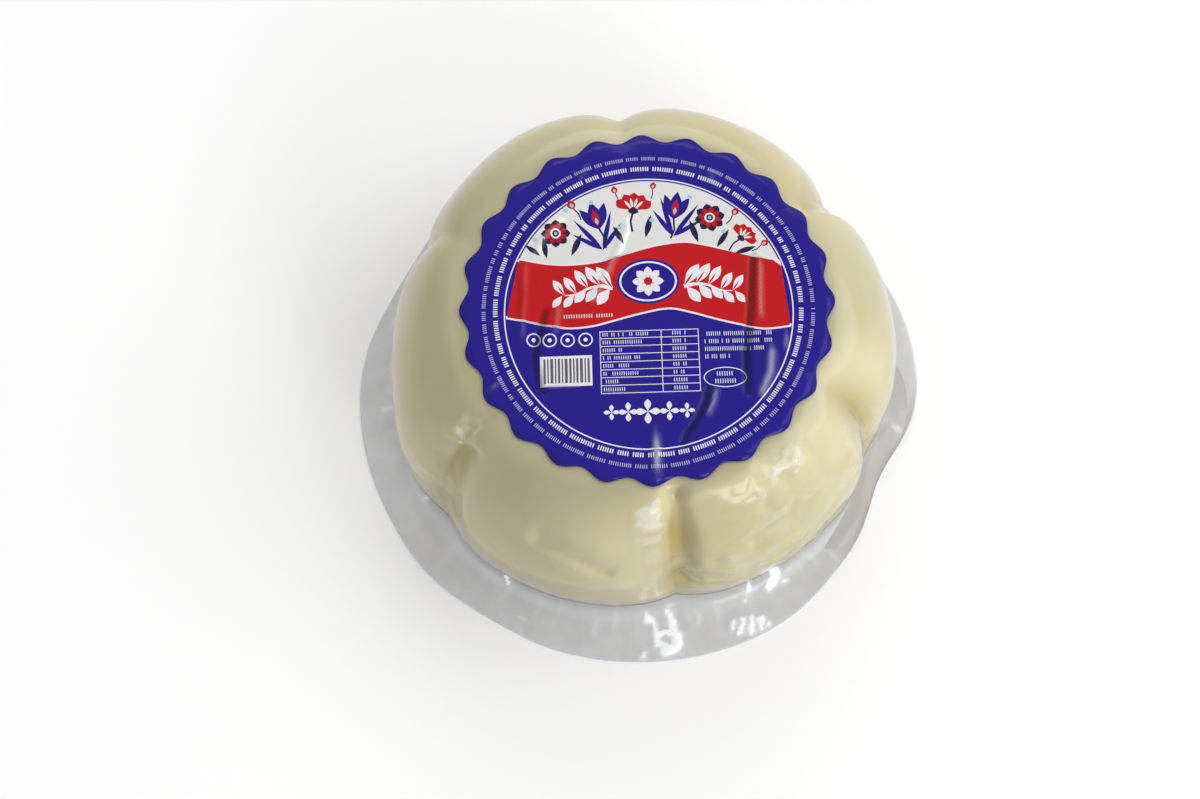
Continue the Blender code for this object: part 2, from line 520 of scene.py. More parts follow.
FILM_FOLDS = (
    side_fold(0.40, 0.9, (209.5, 45.4), (211.5, 46.2), (214.5, 47.0)),
    side_fold(-0.35, 0.8, (211.0, 50.6), (213.6, 49.4), (216.5, 48.0)),
    side_fold(0.22, 1.0, (211.0, 41.3), (217.0, 41.3)),
    side_fold(0.20, 0.6, (217.0, 55.0), (219.0, 62.0)),
    side_fold(0.20, 0.8, (265.6, 42.0), (266.4, 52.0), (266.8, 66.0)),
    side_fold(0.16, 0.6, (266.0, 47.6), (273.6, 48.6)),
    side_fold(0.14, 0.5, (267.0, 52.6), (273.4, 53.6)),
    side_fold(0.16, 0.5, (266.8, 57.0), (273.8, 57.6)),
    side_fold(0.35, 0.6, (273.8, 69.0), (278.0, 71.0), (282.0, 73.0)),
    side_fold(0.30, 0.6, (272.0, 72.4), (276.0, 73.6), (281.0, 75.0)),
    side_fold(0.30, 0.7, (273.4, 79.0), (277.8, 77.4), (282.0, 78.6)),
    side_fold(-0.35, 0.9, (276.8, 82.0), (280.0, 85.0)),
    side_fold(0.35, 0.9, (317.0, 43.0), (314.0, 44.6), (311.4, 46.2), (306.0, 46.0)),
    side_fold(0.25, 0.6, (314.6, 46.2), (311.0, 48.6), (307.0, 49.0)),
    side_fold(0.40, 0.7, (298.3, 54.2), (301.0, 55.2), (304.0, 55.5), (306.2, 55.0)),
    side_fold(-0.35, 0.6, (303.8, 56.6), (306.0, 55.2), (307.2, 54.0)),
    side_fold(0.25, 0.6, (299.3, 44.8), (299.0, 51.0)),
    side_fold(0.22, 0.5, (290.6, 60.8), (293.4, 61.6), (296.0, 62.8)),
    side_fold(0.20, 0.5, (291.6, 63.8), (295.0, 64.6)),
    side_fold(0.25, 0.7, (287.0, 62.6), (289.4, 66.0), (290.0, 72.0)),
    side_fold(0.25, 0.8, (331.0, 54.0), (333.0, 62.0), (334.0, 70.0)),
    side_fold(0.22, 0.6, (337.0, 58.0), (339.0, 66.0)),
)

FLANGE_FOLDS = (
    Fold(((-1.4, -52.0), (-0.9, -54.2), (0.6, -56.6), (1.5, -58.4), (1.4, -60.4), (-0.4, -62.0)), 0.45, 0.68),
    Fold(((1.8, -52.4), (4.0, -53.6), (4.4, -55.8), (5.3, -58.0), (5.5, -60.6), (4.6, -63.6)), 0.50, 0.94),
    Fold(((1.6, -57.6), (4.8, -58.4)), 0.35, 0.81, fade=1.0),
    Fold(((1.2, -60.6), (3.0, -61.6), (3.8, -63.8)), 0.45, 1.49, fade=1.5),
    Fold(((-3.6, -62.2), (-0.8, -63.4)), 0.35, 1.08, fade=1.5),
    Fold(((26.0, -43.8), (28.4, -46.6), (26.6, -49.0), (25.2, -50.4)), 0.45, 1.08),
    Fold(((29.6, -46.8), (30.6, -48.6)), 0.30, 0.81, fade=1.0),
    Fold(((22.0, -47.4), (22.2, -50.2)), 0.40, 0.61, fade=1.0),
    Fold(((20.9, -51.2), (20.5, -52.6)), 0.30, 0.54, fade=0.8),
    Fold(((18.6, -54.8), (17.4, -59.0)), 0.32, 0.61, fade=1.5),
    Fold(((20.4, -54.4), (19.4, -60.0)), 0.36, 0.74, fade=1.5),
    Fold(((22.4, -54.2), (21.8, -60.2)), 0.40, 0.88, fade=1.5),
    Fold(((24.4, -54.4), (24.0, -59.6)), 0.36, 0.81, fade=1.5),
    Fold(((26.4, -55.4), (25.6, -58.6)), 0.30, 0.68, fade=1.5),
    Fold(((53.4, -8.4), (55.4, -9.6), (57.4, -11.8)), 0.35, 0.81, fade=1.2),
    Fold(((55.0, -12.4), (56.4, -10.6)), 0.30, 0.61, fade=0.8),
    Fold(((-42.6, -34.6), (-39.0, -38.2), (-35.8, -41.2)), -0.30, 0.9, fade=2.0),
    Fold(((-32.4, -43.2), (-31.0, -45.8)), 0.45, 0.55, fade=1.0),
    Fold(((-48.0, -25.0), (-50.6, -24.0)), 0.25, 0.5, fade=1.0),
    Fold(((-30.0, -52.0), (-27.0, -54.4)), 0.18, 0.5, fade=1.5),
    Fold(((40.0, -40.6), (43.0, -44.0)), 0.18, 0.6, fade=1.5),
    Fold(((-12.0, -53.8), (-13.4, -58.6)), 0.15, 0.6, fade=2.0),
    Fold(((9.8, -52.2), (10.8, -57.6)), 0.18, 0.5, fade=2.0),
    Fold(((-55.6, -2.0), (-60.0, -3.0)), 0.20, 0.6, fade=1.5),
    Fold(((-52.0, 17.0), (-56.6, 19.4)), 0.25, 0.6, fade=1.5),
    Fold(((48.6, 26.0), (53.0, 28.6)), 0.30, 0.7, fade=1.5),
    Fold(((8.0, 55.0), (8.6, 61.0)), 0.30, 0.7, fade=2.0),
    Fold(((-24.0, 50.4), (-27.0, 56.0)), 0.30, 0.7, fade=2.0),
)

LABEL_FOLDS = (
    Fold(((-16.4, 21.0), (-16.8, 19.5), (-20.5, 16.5), (-23.9, 10.8)), 0.45, 0.8),
    Fold(((-2.1, 20.3), (-5.4, 12.5), (-9.6, 3.8), (-12.3, -0.5)), 0.49, 0.8),
    Fold(((-20.3, 1.6), (-22.2, -4.4), (-23.6, -9.8), (-22.8, -16.4), (-21.7, -19.7)), -0.49, 0.8),
    Fold(((-18.0, 2.6), (-19.1, -4.6), (-19.6, -7.3)), 0.41, 0.7),
    Fold(((22.9, 11.5), (21.9, 2.1), (20.9, -5.6), (19.9, -11.1), (19.5, -22.0)), -0.57, 0.8),
    Fold(((24.1, 10.6), (23.1, -5.6)), 0.52, 0.6),
    Fold(((12.1, -16.8), (10.9, -21.4), (8.8, -25.6), (6.8, -28.1), (5.0, -31.7)), -0.61, 0.7),
    Fold(((13.6, -17.4), (12.4, -21.8), (10.2, -26.2)), 0.56, 0.6),
    Fold(((0.3, -24.0), (0.2, -32.6), (-0.1, -40.0)), 0.80, 0.9, fade=8.0),
    Fold(((-28.0, 12.0), (-26.0, 4.0), (-27.4, -3.0)), -0.20, 0.8),
    Fold(((-24.6, 12.0), (-25.2, 4.0), (-26.2, -8.0)), 0.35, 0.7),
    Fold(((25.4, -9.0), (24.4, -16.0), (21.3, -22.6)), 0.62, 1.0),
    Fold(((28.6, -6.0), (27.6, -13.0)), 0.50, 0.7),
    Fold(((-10.0, 33.0), (-14.0, 27.0)), 0.30, 0.8),
    Fold(((14.0, 31.0), (17.0, 24.0)), 0.30, 0.8),
    Fold(((-30.0, -14.0), (-34.0, -18.0)), 0.41, 0.8),
)


def deselect_all() -> None:
    """Deselects every object, so that an operator acts only on its own piece."""
    for thing in bpy.context.view_layer.objects:
        thing.select_set(False)


def take_active(name: str) -> bpy.types.Object:
    """Names the object that an operator has just added, and its mesh.

    Args:
        name: The new name.

    Returns:
        The object.
    """
    piece = bpy.context.view_layer.objects.active
    piece.name = name
    piece.data.name = name
    return piece


def select_only(piece: bpy.types.Object) -> None:
    """Selects one piece and makes it active.

    Args:
        piece: The piece.
    """
    deselect_all()
    piece.select_set(True)
    bpy.context.view_layer.objects.active = piece


def apply_modifiers(piece: bpy.types.Object) -> None:
    """Applies a piece's modifiers in their order.

    Args:
        piece: The piece.
    """
    select_only(piece)
    for modifier in list(piece.modifiers):
        bpy.ops.object.modifier_apply(modifier=modifier.name)


def shade_smooth(piece: bpy.types.Object) -> None:
    """Shades a piece smooth."""
    select_only(piece)
    bpy.ops.object.shade_smooth()


def read_places(piece: bpy.types.Object) -> np.ndarray:
    """Reads the places of a mesh's vertices.

    Args:
        piece: The piece.

    Returns:
        The places, one a row.
    """
    places = np.empty(len(piece.data.vertices) * 3)
    piece.data.vertices.foreach_get("co", places)
    return places.reshape(-1, 3)


def write_places(piece: bpy.types.Object, places: np.ndarray) -> None:
    """Moves a mesh's vertices to new places."""
    piece.data.vertices.foreach_set("co", places.ravel())
    piece.data.update()


def write_mask(piece: bpy.types.Object, name: str, values: np.ndarray) -> None:
    """Keeps one value for each vertex in a named attribute, for the materials."""
    attribute = piece.data.attributes.new(name, "FLOAT", "POINT")
    attribute.data.foreach_set("value", values.astype(np.float32))


@dataclass
class Roll:
    """A grid rolled up round the upright axis: its rows become levels from the top pole to the bottom one."""

    piece: bpy.types.Object
    levels: int
    columns: int
    seam_gap: float = 0.001 * MM

    @classmethod
    def add(cls, name: str, levels: int, columns: int) -> "Roll":
        """Adds the grid, still flat.

        Args:
            name: The piece's name.
            levels: Levels of vertices, both poles among them.
            columns: Vertices round each level.

        Returns:
            The roll.
        """
        deselect_all()
        bpy.ops.mesh.primitive_grid_add(x_subdivisions=columns, y_subdivisions=levels - 1, size=2.0)
        return cls(take_active(name), levels, columns)

    def angles(self) -> np.ndarray:
        """The direction of each column in radians."""
        return math.tau * np.arange(self.columns) / self.columns

    def shape(self, radius: np.ndarray, height: np.ndarray, masks: dict[str, np.ndarray]) -> None:
        """Rolls the grid up and closes its seam and poles.

        Args:
            radius: Radius for each level and column.
            height: Height for each level and column.
            masks: Values for each level and column, kept as attributes by name.
        """
        share = 0.5 + 0.5 * read_places(self.piece)
        column = np.rint(share[:, 0] * self.columns).astype(int) % self.columns
        level = self.levels - 1 - np.rint(share[:, 1] * (self.levels - 1)).astype(int)
        at_pole = (level == 0) | (level == self.levels - 1)
        at = np.where(at_pole, 0.0, radius[level, column])
        angle = self.angles()[column]
        middle = np.where(level == 0, height[0].mean(), height[-1].mean())
        up = np.where(at_pole, middle, height[level, column])
        write_places(self.piece, np.column_stack((at * np.cos(angle), at * np.sin(angle), up)))
        for name, values in masks.items():
            write_mask(self.piece, name, values[level, column])
        shade_smooth(self.piece)
        bpy.ops.object.mode_set(mode="EDIT")
        bpy.ops.mesh.select_all(action="SELECT")
        bpy.ops.mesh.remove_doubles(threshold=self.seam_gap)
        bpy.ops.object.mode_set(mode="OBJECT")


@dataclass(frozen=True)
class Tree:
    """A material's or a group's nodes, added and linked by short calls."""

    tree: bpy.types.NodeTree

    def add(self, kind: str, **values: object) -> bpy.types.Node:
        """Adds a node.

        Args:
            kind: The node's type name.
            values: Properties, or inputs by name with _ for a space, as values or sockets to link.

        Returns:
            The node.
        """
        node = self.tree.nodes.new(kind)
        for name, value in values.items():
            if name.replace("_", " ") in node.inputs:
                self.feed(node.inputs[name.replace("_", " ")], value)
            else:
                setattr(node, name, value)
        return node

    def feed(self, socket: bpy.types.NodeSocket, value: object) -> None:
        """Links a socket to another, or sets its value.

        Args:
            socket: The input.
            value: An output to link, or a value.
        """
        if isinstance(value, bpy.types.NodeSocket):
            self.tree.links.new(value, socket)
        else:
            socket.default_value = value

    def mix(self, factor: object, first: object, second: object) -> bpy.types.NodeSocket:
        """A blend of two colours.

        Args:
            factor: The second colour's share.
            first: A colour, or a socket.
            second: The other one.

        Returns:
            The blended colour.
        """
        node = self.tree.nodes.new("ShaderNodeMix")
        node.data_type = "RGBA"
        self.feed(node.inputs[0], factor)
        self.feed(node.inputs[6], first)
        self.feed(node.inputs[7], second)
        return node.outputs[2]

    def math(self, operation: str, first: object, second: object) -> bpy.types.NodeSocket:
        """A calculation on two values.

        Args:
            operation: Its name in the node.
            first: A value, or a socket.
            second: The other one.

        Returns:
            The result.
        """
        node = self.tree.nodes.new("ShaderNodeMath")
        node.operation = operation
        self.feed(node.inputs[0], first)
        self.feed(node.inputs[1], second)
        return node.outputs[0]

    def blend(self, factor: object, first: bpy.types.Node, second: bpy.types.Node) -> bpy.types.Node:
        """A blend of two shaders.

        Args:
            factor: The second shader's share.
            first: A shader's node.
            second: The other one.

        Returns:
            The blend's node.
        """
        node = self.add("ShaderNodeMixShader", Fac=factor)
        self.feed(node.inputs[1], first.outputs[0])
        self.feed(node.inputs[2], second.outputs[0])
        return node

    def mask(self, name: str) -> bpy.types.NodeSocket:
        """The values of one of the piece's masks."""
        return self.add("ShaderNodeAttribute", attribute_name=name).outputs["Fac"]


def opaque(colour: tuple[float, ...]) -> Colour:
    """A colour with full cover."""
    return (*colour, 1.0)


def new_material(name: str) -> tuple[bpy.types.Material, Tree, bpy.types.Node]:
    """A material with an empty Principled shader.

    Args:
        name: The material's name.

    Returns:
        The material, its nodes and its Principled shader.
    """
    material = bpy.data.materials.new(name)
    material.use_nodes = True
    tree = Tree(material.node_tree)
    return material, tree, material.node_tree.nodes["Principled BSDF"]


@dataclass(frozen=True)
class Unevenness:
    """Inputs of the shared unevenness group: grains a metre, limits of its value, and its bump."""

    scale: float = 200.0
    low: float = 0.0
    high: float = 1.0
    bump: float = 0.1
    depth: float = 0.1 * MM
    detail: float = 4.0
    grain_roughness: float = 0.55
    noise_low: float = 0.3
    noise_high: float = 0.7

    def inputs(self) -> dict[str, float]:
        """The group's inputs by name."""
        values = (self.scale, self.low, self.high, self.bump, self.depth)
        return dict(zip(("Scale", "Low", "High", "Bump", "Depth"), values))


def uneven_group() -> bpy.types.NodeTree:
    """The shared group of soft unevenness: a value between two limits, and a bumped normal.

    Returns:
        The group, made at its first use.
    """
    known = bpy.data.node_groups.get("unevenness")
    if known is not None:
        return known
    group = bpy.data.node_groups.new("unevenness", "ShaderNodeTree")
    sockets = group.interface
    usual = Unevenness()
    for name, value in usual.inputs().items():
        sockets.new_socket(name=name, in_out="INPUT", socket_type="NodeSocketFloat").default_value = value
    sockets.new_socket(name="Value", in_out="OUTPUT", socket_type="NodeSocketFloat")
    sockets.new_socket(name="Normal", in_out="OUTPUT", socket_type="NodeSocketVector")
    tree = Tree(group)
    given = tree.add("NodeGroupInput").outputs
    place = tree.add("ShaderNodeTexCoord").outputs["Object"]
    grain = tree.add(
        "ShaderNodeTexNoise",
        Vector=place,
        Scale=given["Scale"],
        Detail=usual.detail,
        Roughness=usual.grain_roughness,
    ).outputs["Fac"]
    value = tree.add("ShaderNodeMapRange", Value=grain, From_Min=usual.noise_low, From_Max=usual.noise_high)
    tree.feed(value.inputs["To Min"], given["Low"])
    tree.feed(value.inputs["To Max"], given["High"])
    bump = tree.add("ShaderNodeBump", Height=grain, Strength=given["Bump"], Distance=given["Depth"])
    result = tree.add("NodeGroupOutput")
    tree.feed(result.inputs["Value"], value.outputs[0])
    tree.feed(result.inputs["Normal"], bump.outputs[0])
    return group


def add_unevenness(tree: Tree, grain: Unevenness) -> bpy.types.Node:
    """Places the shared unevenness group in a material.

    Args:
        tree: The material's nodes.
        grain: The group's inputs.

    Returns:
        The group's node.
    """
    node = tree.tree.nodes.new("ShaderNodeGroup")
    node.node_tree = uneven_group()
    for name, value in grain.inputs().items():
        node.inputs[name].default_value = value
    return node


@dataclass(frozen=True)
class ButterFinish:
    """Soft cream butter that light enters a little, with random darker blotches and painted shade in its
    valleys and dents.
    """

    name: str = "butter"
    pale: Colour = (0.80, 0.755, 0.518, 1.0)
    # Colour of the painted shade in the valleys and dents, which also gives the random blotches their tone.
    deep: Colour = (0.60, 0.505, 0.165, 1.0)
    roughness: float = 0.42
    glow: float = 0.25
    glow_reach: tuple[float, float, float] = (1.0, 0.75, 0.30)
    glow_depth: float = 2.0 * MM
    blotches: float = 0.35
    grain: Unevenness = Unevenness(scale=28.0, bump=0.12, depth=1.2 * MM)

    def build(self) -> bpy.types.Material:
        """Makes the material.

        Returns:
            The material.
        """
        material, tree, shader = new_material(self.name)
        soft = add_unevenness(tree, self.grain)
        blotch = tree.math("MULTIPLY", soft.outputs["Value"], self.blotches)
        # Painted shade: valleys and dents are mixed towards the deep colour, as are the random blotches.
        share = tree.math("MAXIMUM", blotch, tree.mask("hollow_shade"))
        tree.feed(shader.inputs["Base Color"], tree.mix(share, self.pale, self.deep))
        tree.feed(shader.inputs["Normal"], soft.outputs["Normal"])
        shader.inputs["Roughness"].default_value = self.roughness
        shader.inputs["Subsurface Weight"].default_value = self.glow
        shader.inputs["Subsurface Radius"].default_value = self.glow_reach
        shader.inputs["Subsurface Scale"].default_value = self.glow_depth
        return material


@dataclass(frozen=True)
class FilmFinish:
    """Clear glossy film: see-through over the butter, hazy grey where two layers are sealed together. Its
    creases and folds are painted whiter, partly as whitened film and partly as painted highlight, with a
    faint painted glow.
    """

    name: str = "clear_film"
    haze_colour: Colour = (0.86, 0.865, 0.90, 1.0)
    crease_white_and_highlight: Colour = (0.96, 0.98, 1.0, 1.0)
    painted_glint_glow: Colour = (0.12, 0.13, 0.16, 1.0)
    no_glint: Colour = (0.0, 0.0, 0.0, 1.0)
    clear_colour: Colour = (0.985, 0.985, 0.98, 1.0)
    gloss_colour: Colour = (1.0, 1.0, 1.0, 1.0)
    clear_roughness: float = 0.14
    haze_roughness: float = 0.28
    ior: float = 1.42
    grain: Unevenness = Unevenness(low=0.94, high=1.06, bump=0.15, depth=0.2 * MM)

    def build(self) -> bpy.types.Material:
        """Makes the material.

        Returns:
            The material.
        """
        material, tree, shader = new_material(self.name)
        crease = tree.mask("crease")
        fine = add_unevenness(tree, self.grain)
        normal = fine.outputs["Normal"]
        # Creases and folds painted whiter, partly whitened film and partly painted highlight, and given a
        # faint painted glow that stands in for glints.
        tree.feed(shader.inputs["Base Color"], tree.mix(crease, self.haze_colour, self.crease_white_and_highlight))
        tree.feed(shader.inputs["Emission Color"], tree.mix(crease, self.no_glint, self.painted_glint_glow))
        shader.inputs["Emission Strength"].default_value = 1.0
        tree.feed(shader.inputs["Normal"], normal)
        shader.inputs["Roughness"].default_value = self.haze_roughness
        clear = tree.add("ShaderNodeBsdfTransparent", Color=self.clear_colour)
        gloss = tree.add(
            "ShaderNodeBsdfAnisotropic",
            Color=self.gloss_colour,
            Roughness=self.clear_roughness,
            Normal=normal,
        )
        fresnel = tree.add("ShaderNodeFresnel", IOR=self.ior, Normal=normal)
        shine = tree.blend(fresnel.outputs[0], clear, gloss)
        share = tree.math("MULTIPLY", tree.mask("haze"), fine.outputs["Value"])
        whole = tree.blend(share, shine, shader)
        tree.feed(tree.tree.nodes["Material Output"].inputs["Surface"], whole.outputs[0])
        return material


@dataclass(frozen=True)
class InkFinish:
    """One printed ink under the label's gloss, with painted shade in the label's dents and a painted
    highlight on its ridges.
    """

    ink: Ink
    roughness: float = 0.32
    metallic: float = 0.0
    dark_share: float = 0.86
    # Share of the ink's colour in the painted shade of dents, and how far ridges are painted towards white as
    # a highlight.
    dent_shade: float = 0.40
    ridge_highlight_share: float = 0.30
    specular: float = 0.08
    coat: float = 0.24
    coat_roughness: float = 0.09
    grain: Unevenness = Unevenness(scale=90.0, low=0.90, high=1.08, bump=0.25, depth=0.4 * MM)

    def build(self) -> bpy.types.Material:
        """Makes the material.

        Returns:
            The material.
        """
        material, tree, shader = new_material(f"label_{self.ink.name.lower()}")
        soft = add_unevenness(tree, self.grain)
        colour = self.ink.value
        dark = opaque(tuple(self.dark_share * part for part in colour))
        # A painted shade colour for dents and a painted highlight colour for ridges.
        deep = opaque(tuple(self.dent_shade * part for part in colour))
        painted_ridge_highlight = opaque(tuple(part + self.ridge_highlight_share * (1.0 - part) for part in colour))
        print_colour = tree.mix(soft.outputs["Value"], dark, opaque(colour))
        print_colour = tree.mix(tree.mask("dent"), print_colour, deep)
        tree.feed(shader.inputs["Base Color"], tree.mix(tree.mask("edge"), print_colour, painted_ridge_highlight))
        tree.feed(shader.inputs["Normal"], soft.outputs["Normal"])
        shader.inputs["Roughness"].default_value = self.roughness
        shader.inputs["Metallic"].default_value = self.metallic
        shader.inputs["Specular IOR Level"].default_value = self.specular
        shader.inputs["Coat Weight"].default_value = self.coat
        shader.inputs["Coat Roughness"].default_value = self.coat_roughness
        return material


def join_solid(piece: bpy.types.Object, slot: str, *nodes: str) -> None:
    """Ties a piece to the root body and hides the solids that it stands for.

    Args:
        piece: The piece.
        slot: Not used.
        nodes: The solids that it stands for.
    """
    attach(piece, ROOT_BODY)
    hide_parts(*nodes)
    LOG.info("%s: %d vertices", piece.name, len(piece.data.vertices))


@dataclass(frozen=True)
class Butter:
    """The butter itself, just inside the film."""

    form: BlockForm
    finish: ButterFinish
    inset: float = 0.15 * MM
    columns: int = 420
    top_levels: int = 16
    shoulder_levels: int = 72
    side_levels: int = 28
    foot_levels: int = 8
    under_levels: int = 8
    # Valley and dent depths at which the painted shade is full, its power, and the dents' share of it.
    deep_valley: float = 4.2 * MM
    deep_dent: float = 1.6 * MM
    hollow_shade_power: float = 1.5
    dent_shade_share: float = 0.4

    def build(self) -> bpy.types.Object:
        """Models the butter.

        Returns:
            The piece.
        """
        outline = self.form.outline(self.top_levels, self.shoulder_levels, self.side_levels, self.foot_levels)
        levels = len(outline.radius) + self.under_levels
        roll = Roll.add("butter", levels, self.columns)
        radius, height = self.form.surface(outline, roll.angles(), -self.inset)
        share = np.linspace(1.0, 0.0, self.under_levels + 1)[1:, None]
        radius = np.vstack((radius, radius[-1] * share))
        height = np.vstack((height, np.repeat(height[-1:], self.under_levels, axis=0)))
        # Painted shade in the valleys and dents, kept as a mask for the material.
        hollow_shade = np.vstack((self.hollow_shade(outline, roll.angles()), np.zeros((self.under_levels, self.columns))))
        roll.shape(radius, height, {"hollow_shade": hollow_shade})
        roll.piece.data.materials.append(self.finish.build())
        join_solid(roll.piece, "butter", "butter_block")
        return roll.piece

    def hollow_shade(self, outline: Outline, angle: np.ndarray) -> np.ndarray:
        """How much painted shade each place of the side gets, from 0 to 1, most in the valleys and in part in
        the dents.

        Args:
            outline: The turned outline.
            angle: Directions in radians.

        Returns:
            The share for each level and column.
        """
        turned = angle + 0.0 * outline.along[:, None]
        along = outline.along[:, None] + 0.0 * angle
        depth = self.form.valley_depth(turned, along, outline.height[:, None]) / self.deep_valley
        dents = np.clip(-side_lift(BUTTER_FOLDS, turned, along) / self.deep_dent, 0.0, 1.0)
        return np.clip(np.clip(depth, 0.0, 1.0) ** self.hollow_shade_power + self.dent_shade_share * dents, 0.0, 1.0)


@dataclass(frozen=True)
class SheenLook:
    """How the film's painted sheen, paler facets that stand in for highlights, is drawn, in millimetres of
    the side laid flat.
    """

    height_share: float = 0.3
    ragged: float = 0.45
    ragged_size: float = 1.7
    ragged_seed: float = 31.0
    edge: tuple[float, float] = (0.62, 1.08)
    tight: float = 0.10
    bend: float = 1.1
    bend_seed: float = 21.0
    stretch: tuple[float, float, float] = (1.0, 0.75, 1.0)
    facet_size: float = 6.0
    facet_seed: float = 17.0
    facet_edge: tuple[float, float] = (0.08, 0.40)
    bright_tones: tuple[float, float] = (0.55, 0.98)


@dataclass(frozen=True)
class CreaseRule:
    """Limits for small creases made at random on the block's side.

    A crease starts within spread degrees of a given direction, and ends within turn degrees of its start.
    The start and the end along the surface are in millimetres, and the end counts from the start or, where
    from_start is False, from the top's middle as the start does.
    """

    spread: float
    start: tuple[float, float]
    turn: float
    end: tuple[float, float]
    height: tuple[float, float]
    width: tuple[float, float] = (0.5, 0.9)
    from_start: bool = True

    def crease(self, dice: random.Random, direction: float) -> Fold:
        """Makes one crease.

        Args:
            dice: The random numbers.
            direction: The direction in degrees that it starts near.

        Returns:
            The crease.
        """
        first = (direction + dice.uniform(-self.spread, self.spread), dice.uniform(*self.start))
        over = first[0] + dice.uniform(-self.turn, self.turn)
        down = dice.uniform(*self.end) + (first[1] if self.from_start else 0.0)
        return side_fold(dice.uniform(*self.height), dice.uniform(*self.width), first, (over, down))


@dataclass(frozen=True)
class Film:
    """The film: drawn tight over the butter, down to the sealed flat film and out to its trimmed rim."""

    form: BlockForm
    finish: FilmFinish
    gap: float = 0.08 * MM
    columns: int = 600
    thickness: float = 0.5 * MM
    leave_height: float = 3.0 * MM
    flat_start: float = 56.6 * MM
    radius: float = 64.2 * MM
    # Dips of the rim and curls of it: direction and half width in degrees, and depth or height.
    dips: tuple[tuple[float, float, float], ...] = (
        (334.0, 13.0, 5.2 * MM),
        (313.0, 12.0, 1.8 * MM),
        (152.0, 15.0, 2.8 * MM),
        (237.0, 8.0, 0.5 * MM),
        (219.0, 8.0, -0.5 * MM),
        (27.0, 14.0, 1.7 * MM),
        (44.0, 10.0, 0.8 * MM),
        (141.0, 8.0, 1.0 * MM),
    )
    curls: tuple[tuple[float, float, float], ...] = (
        (338.0, 20.0, 2.6 * MM),
        (20.0, 14.0, 1.2 * MM),
        (220.0, 10.0, 0.5 * MM),
        (96.0, 16.0, 1.4 * MM),
    )
    # Painted sheen, paler facets that stand in for highlights: two directions in degrees, two distances along
    # the side in millimetres, and strength.
    sheen_patches: tuple[tuple[float, float, float, float, float], ...] = (
        (266.0, 273.6, 41.6, 49.6, 0.28),
        (267.0, 273.2, 50.4, 54.4, 0.16),
        (268.2, 273.0, 55.2, 62.0, 0.11),
        (268.6, 272.6, 64.0, 76.0, 0.07),
        (299.2, 300.8, 45.0, 50.4, 0.20),
        (303.8, 310.6, 43.6, 46.2, 0.22),
        (310.0, 314.6, 42.4, 47.6, 0.18),
        (288.0, 292.6, 62.0, 71.0, 0.10),
        (293.4, 297.0, 66.0, 78.0, 0.07),
        (324.0, 331.0, 50.0, 60.0, 0.09),
        (211.8, 214.4, 43.6, 47.6, 0.14),
        (214.8, 216.6, 40.6, 44.4, 0.10),
    )
    sheen_look: SheenLook = SheenLook()
    facet_sheen: float = 0.12
    top_levels: int = 8
    shoulder_levels: int = 72
    side_levels: int = 34
    foot_levels: int = 4
    skirt_levels: int = 14
    flat_levels: int = 26
    under_levels: int = 4
    # How hazy the film is on the butter, where it is sealed, at the foot, and on creases and folds.
    haze_on_butter: float = 0.018
    haze_sealed: float = 0.62
    haze_at_foot: float = 0.42
    haze_fall: float = 0.8
    haze_of_crease: float = 0.10
    haze_of_fold: float = 0.9
    # Lifts at which a crease or a fold is fully painted white, partly whitened film and partly painted
    # highlight, and how soon a painted sheen counts as a crease.
    white_crease: float = 0.5 * MM
    white_fold: float = 0.28 * MM
    sheen_crease: float = 4.0
    # Where the unevenness sets in past the label's edge, its height, and the size of its waves.
    shown_from: float = 34.0 * MM
    shown_full: float = 42.0 * MM
    rough_height: float = 0.05 * MM
    rough_size: float = 9.0 * MM
    rough_seed: float = 3.0
    # How far the folds of the flat film stray from their lines, and the size of that, in millimetres.
    ragged: float = 0.7
    ragged_size: float = 1.8
    ragged_seed: float = 41.0
    ragged_share: float = 0.5
    deepest_fold: float = 0.3 * MM
    # Puckers at the foot: heights in millimetres, and directions, strays and half widths in degrees.
    pucker_heights: tuple[float, ...] = (0.0, 0.06, 0.10, 0.16)
    pucker_count: int = 58
    pucker_step: float = 6.2
    pucker_stray: float = 2.6
    pucker_width: tuple[float, float] = (0.5, 1.1)
    pucker_reach: float = 3.4 * MM
    # Share of the puckers' lift painted white, partly whitened film and partly painted highlight.
    pucker_whiteness: float = 0.35
    # The bend between the block's side and the flat film, and the soft wave of the flat film.
    knee_share: float = 0.15
    knee_rise: float = 0.3 * MM
    wave_height: float = 0.12 * MM
    wave_size: float = 9.0 * MM
    wave_seed: float = 5.0
    wave_base: float = 0.6
    # How many small creases each place gets, and the rules for them.
    creases_a_valley: int = 7
    foot_creases: int = 64
    lobe_creases: int = 16
    lobe_direction: float = 305.5
    valley_rule: CreaseRule = CreaseRule(7.0, (66.0, 86.0), 4.0, (3.0, 9.0), (0.08, 0.22))
    foot_rule: CreaseRule = CreaseRule(2.5, (84.0, 89.0), 2.0, (92.0, 98.0), (0.06, 0.20), from_start=False)
    lobe_rule: CreaseRule = CreaseRule(20.5, (46.0, 84.0), 6.0, (-4.0, 5.0), (-0.12, 0.18), (0.6, 1.4))
    seed: int = 11

    def random_folds(self) -> list[Fold]:
        """Small creases at the foot of each valley, round the block's foot and on the right front lobe.

        Returns:
            The creases.
        """
        dice = random.Random(self.seed)
        folds = []
        for direction, _ in self.form.valleys:
            folds.extend(self.valley_rule.crease(dice, direction) for _ in range(self.creases_a_valley))
        step = 360.0 / self.foot_creases
        folds.extend(self.foot_rule.crease(dice, step * index) for index in range(self.foot_creases))
        folds.extend(self.lobe_rule.crease(dice, self.lobe_direction) for _ in range(self.lobe_creases))
        return folds

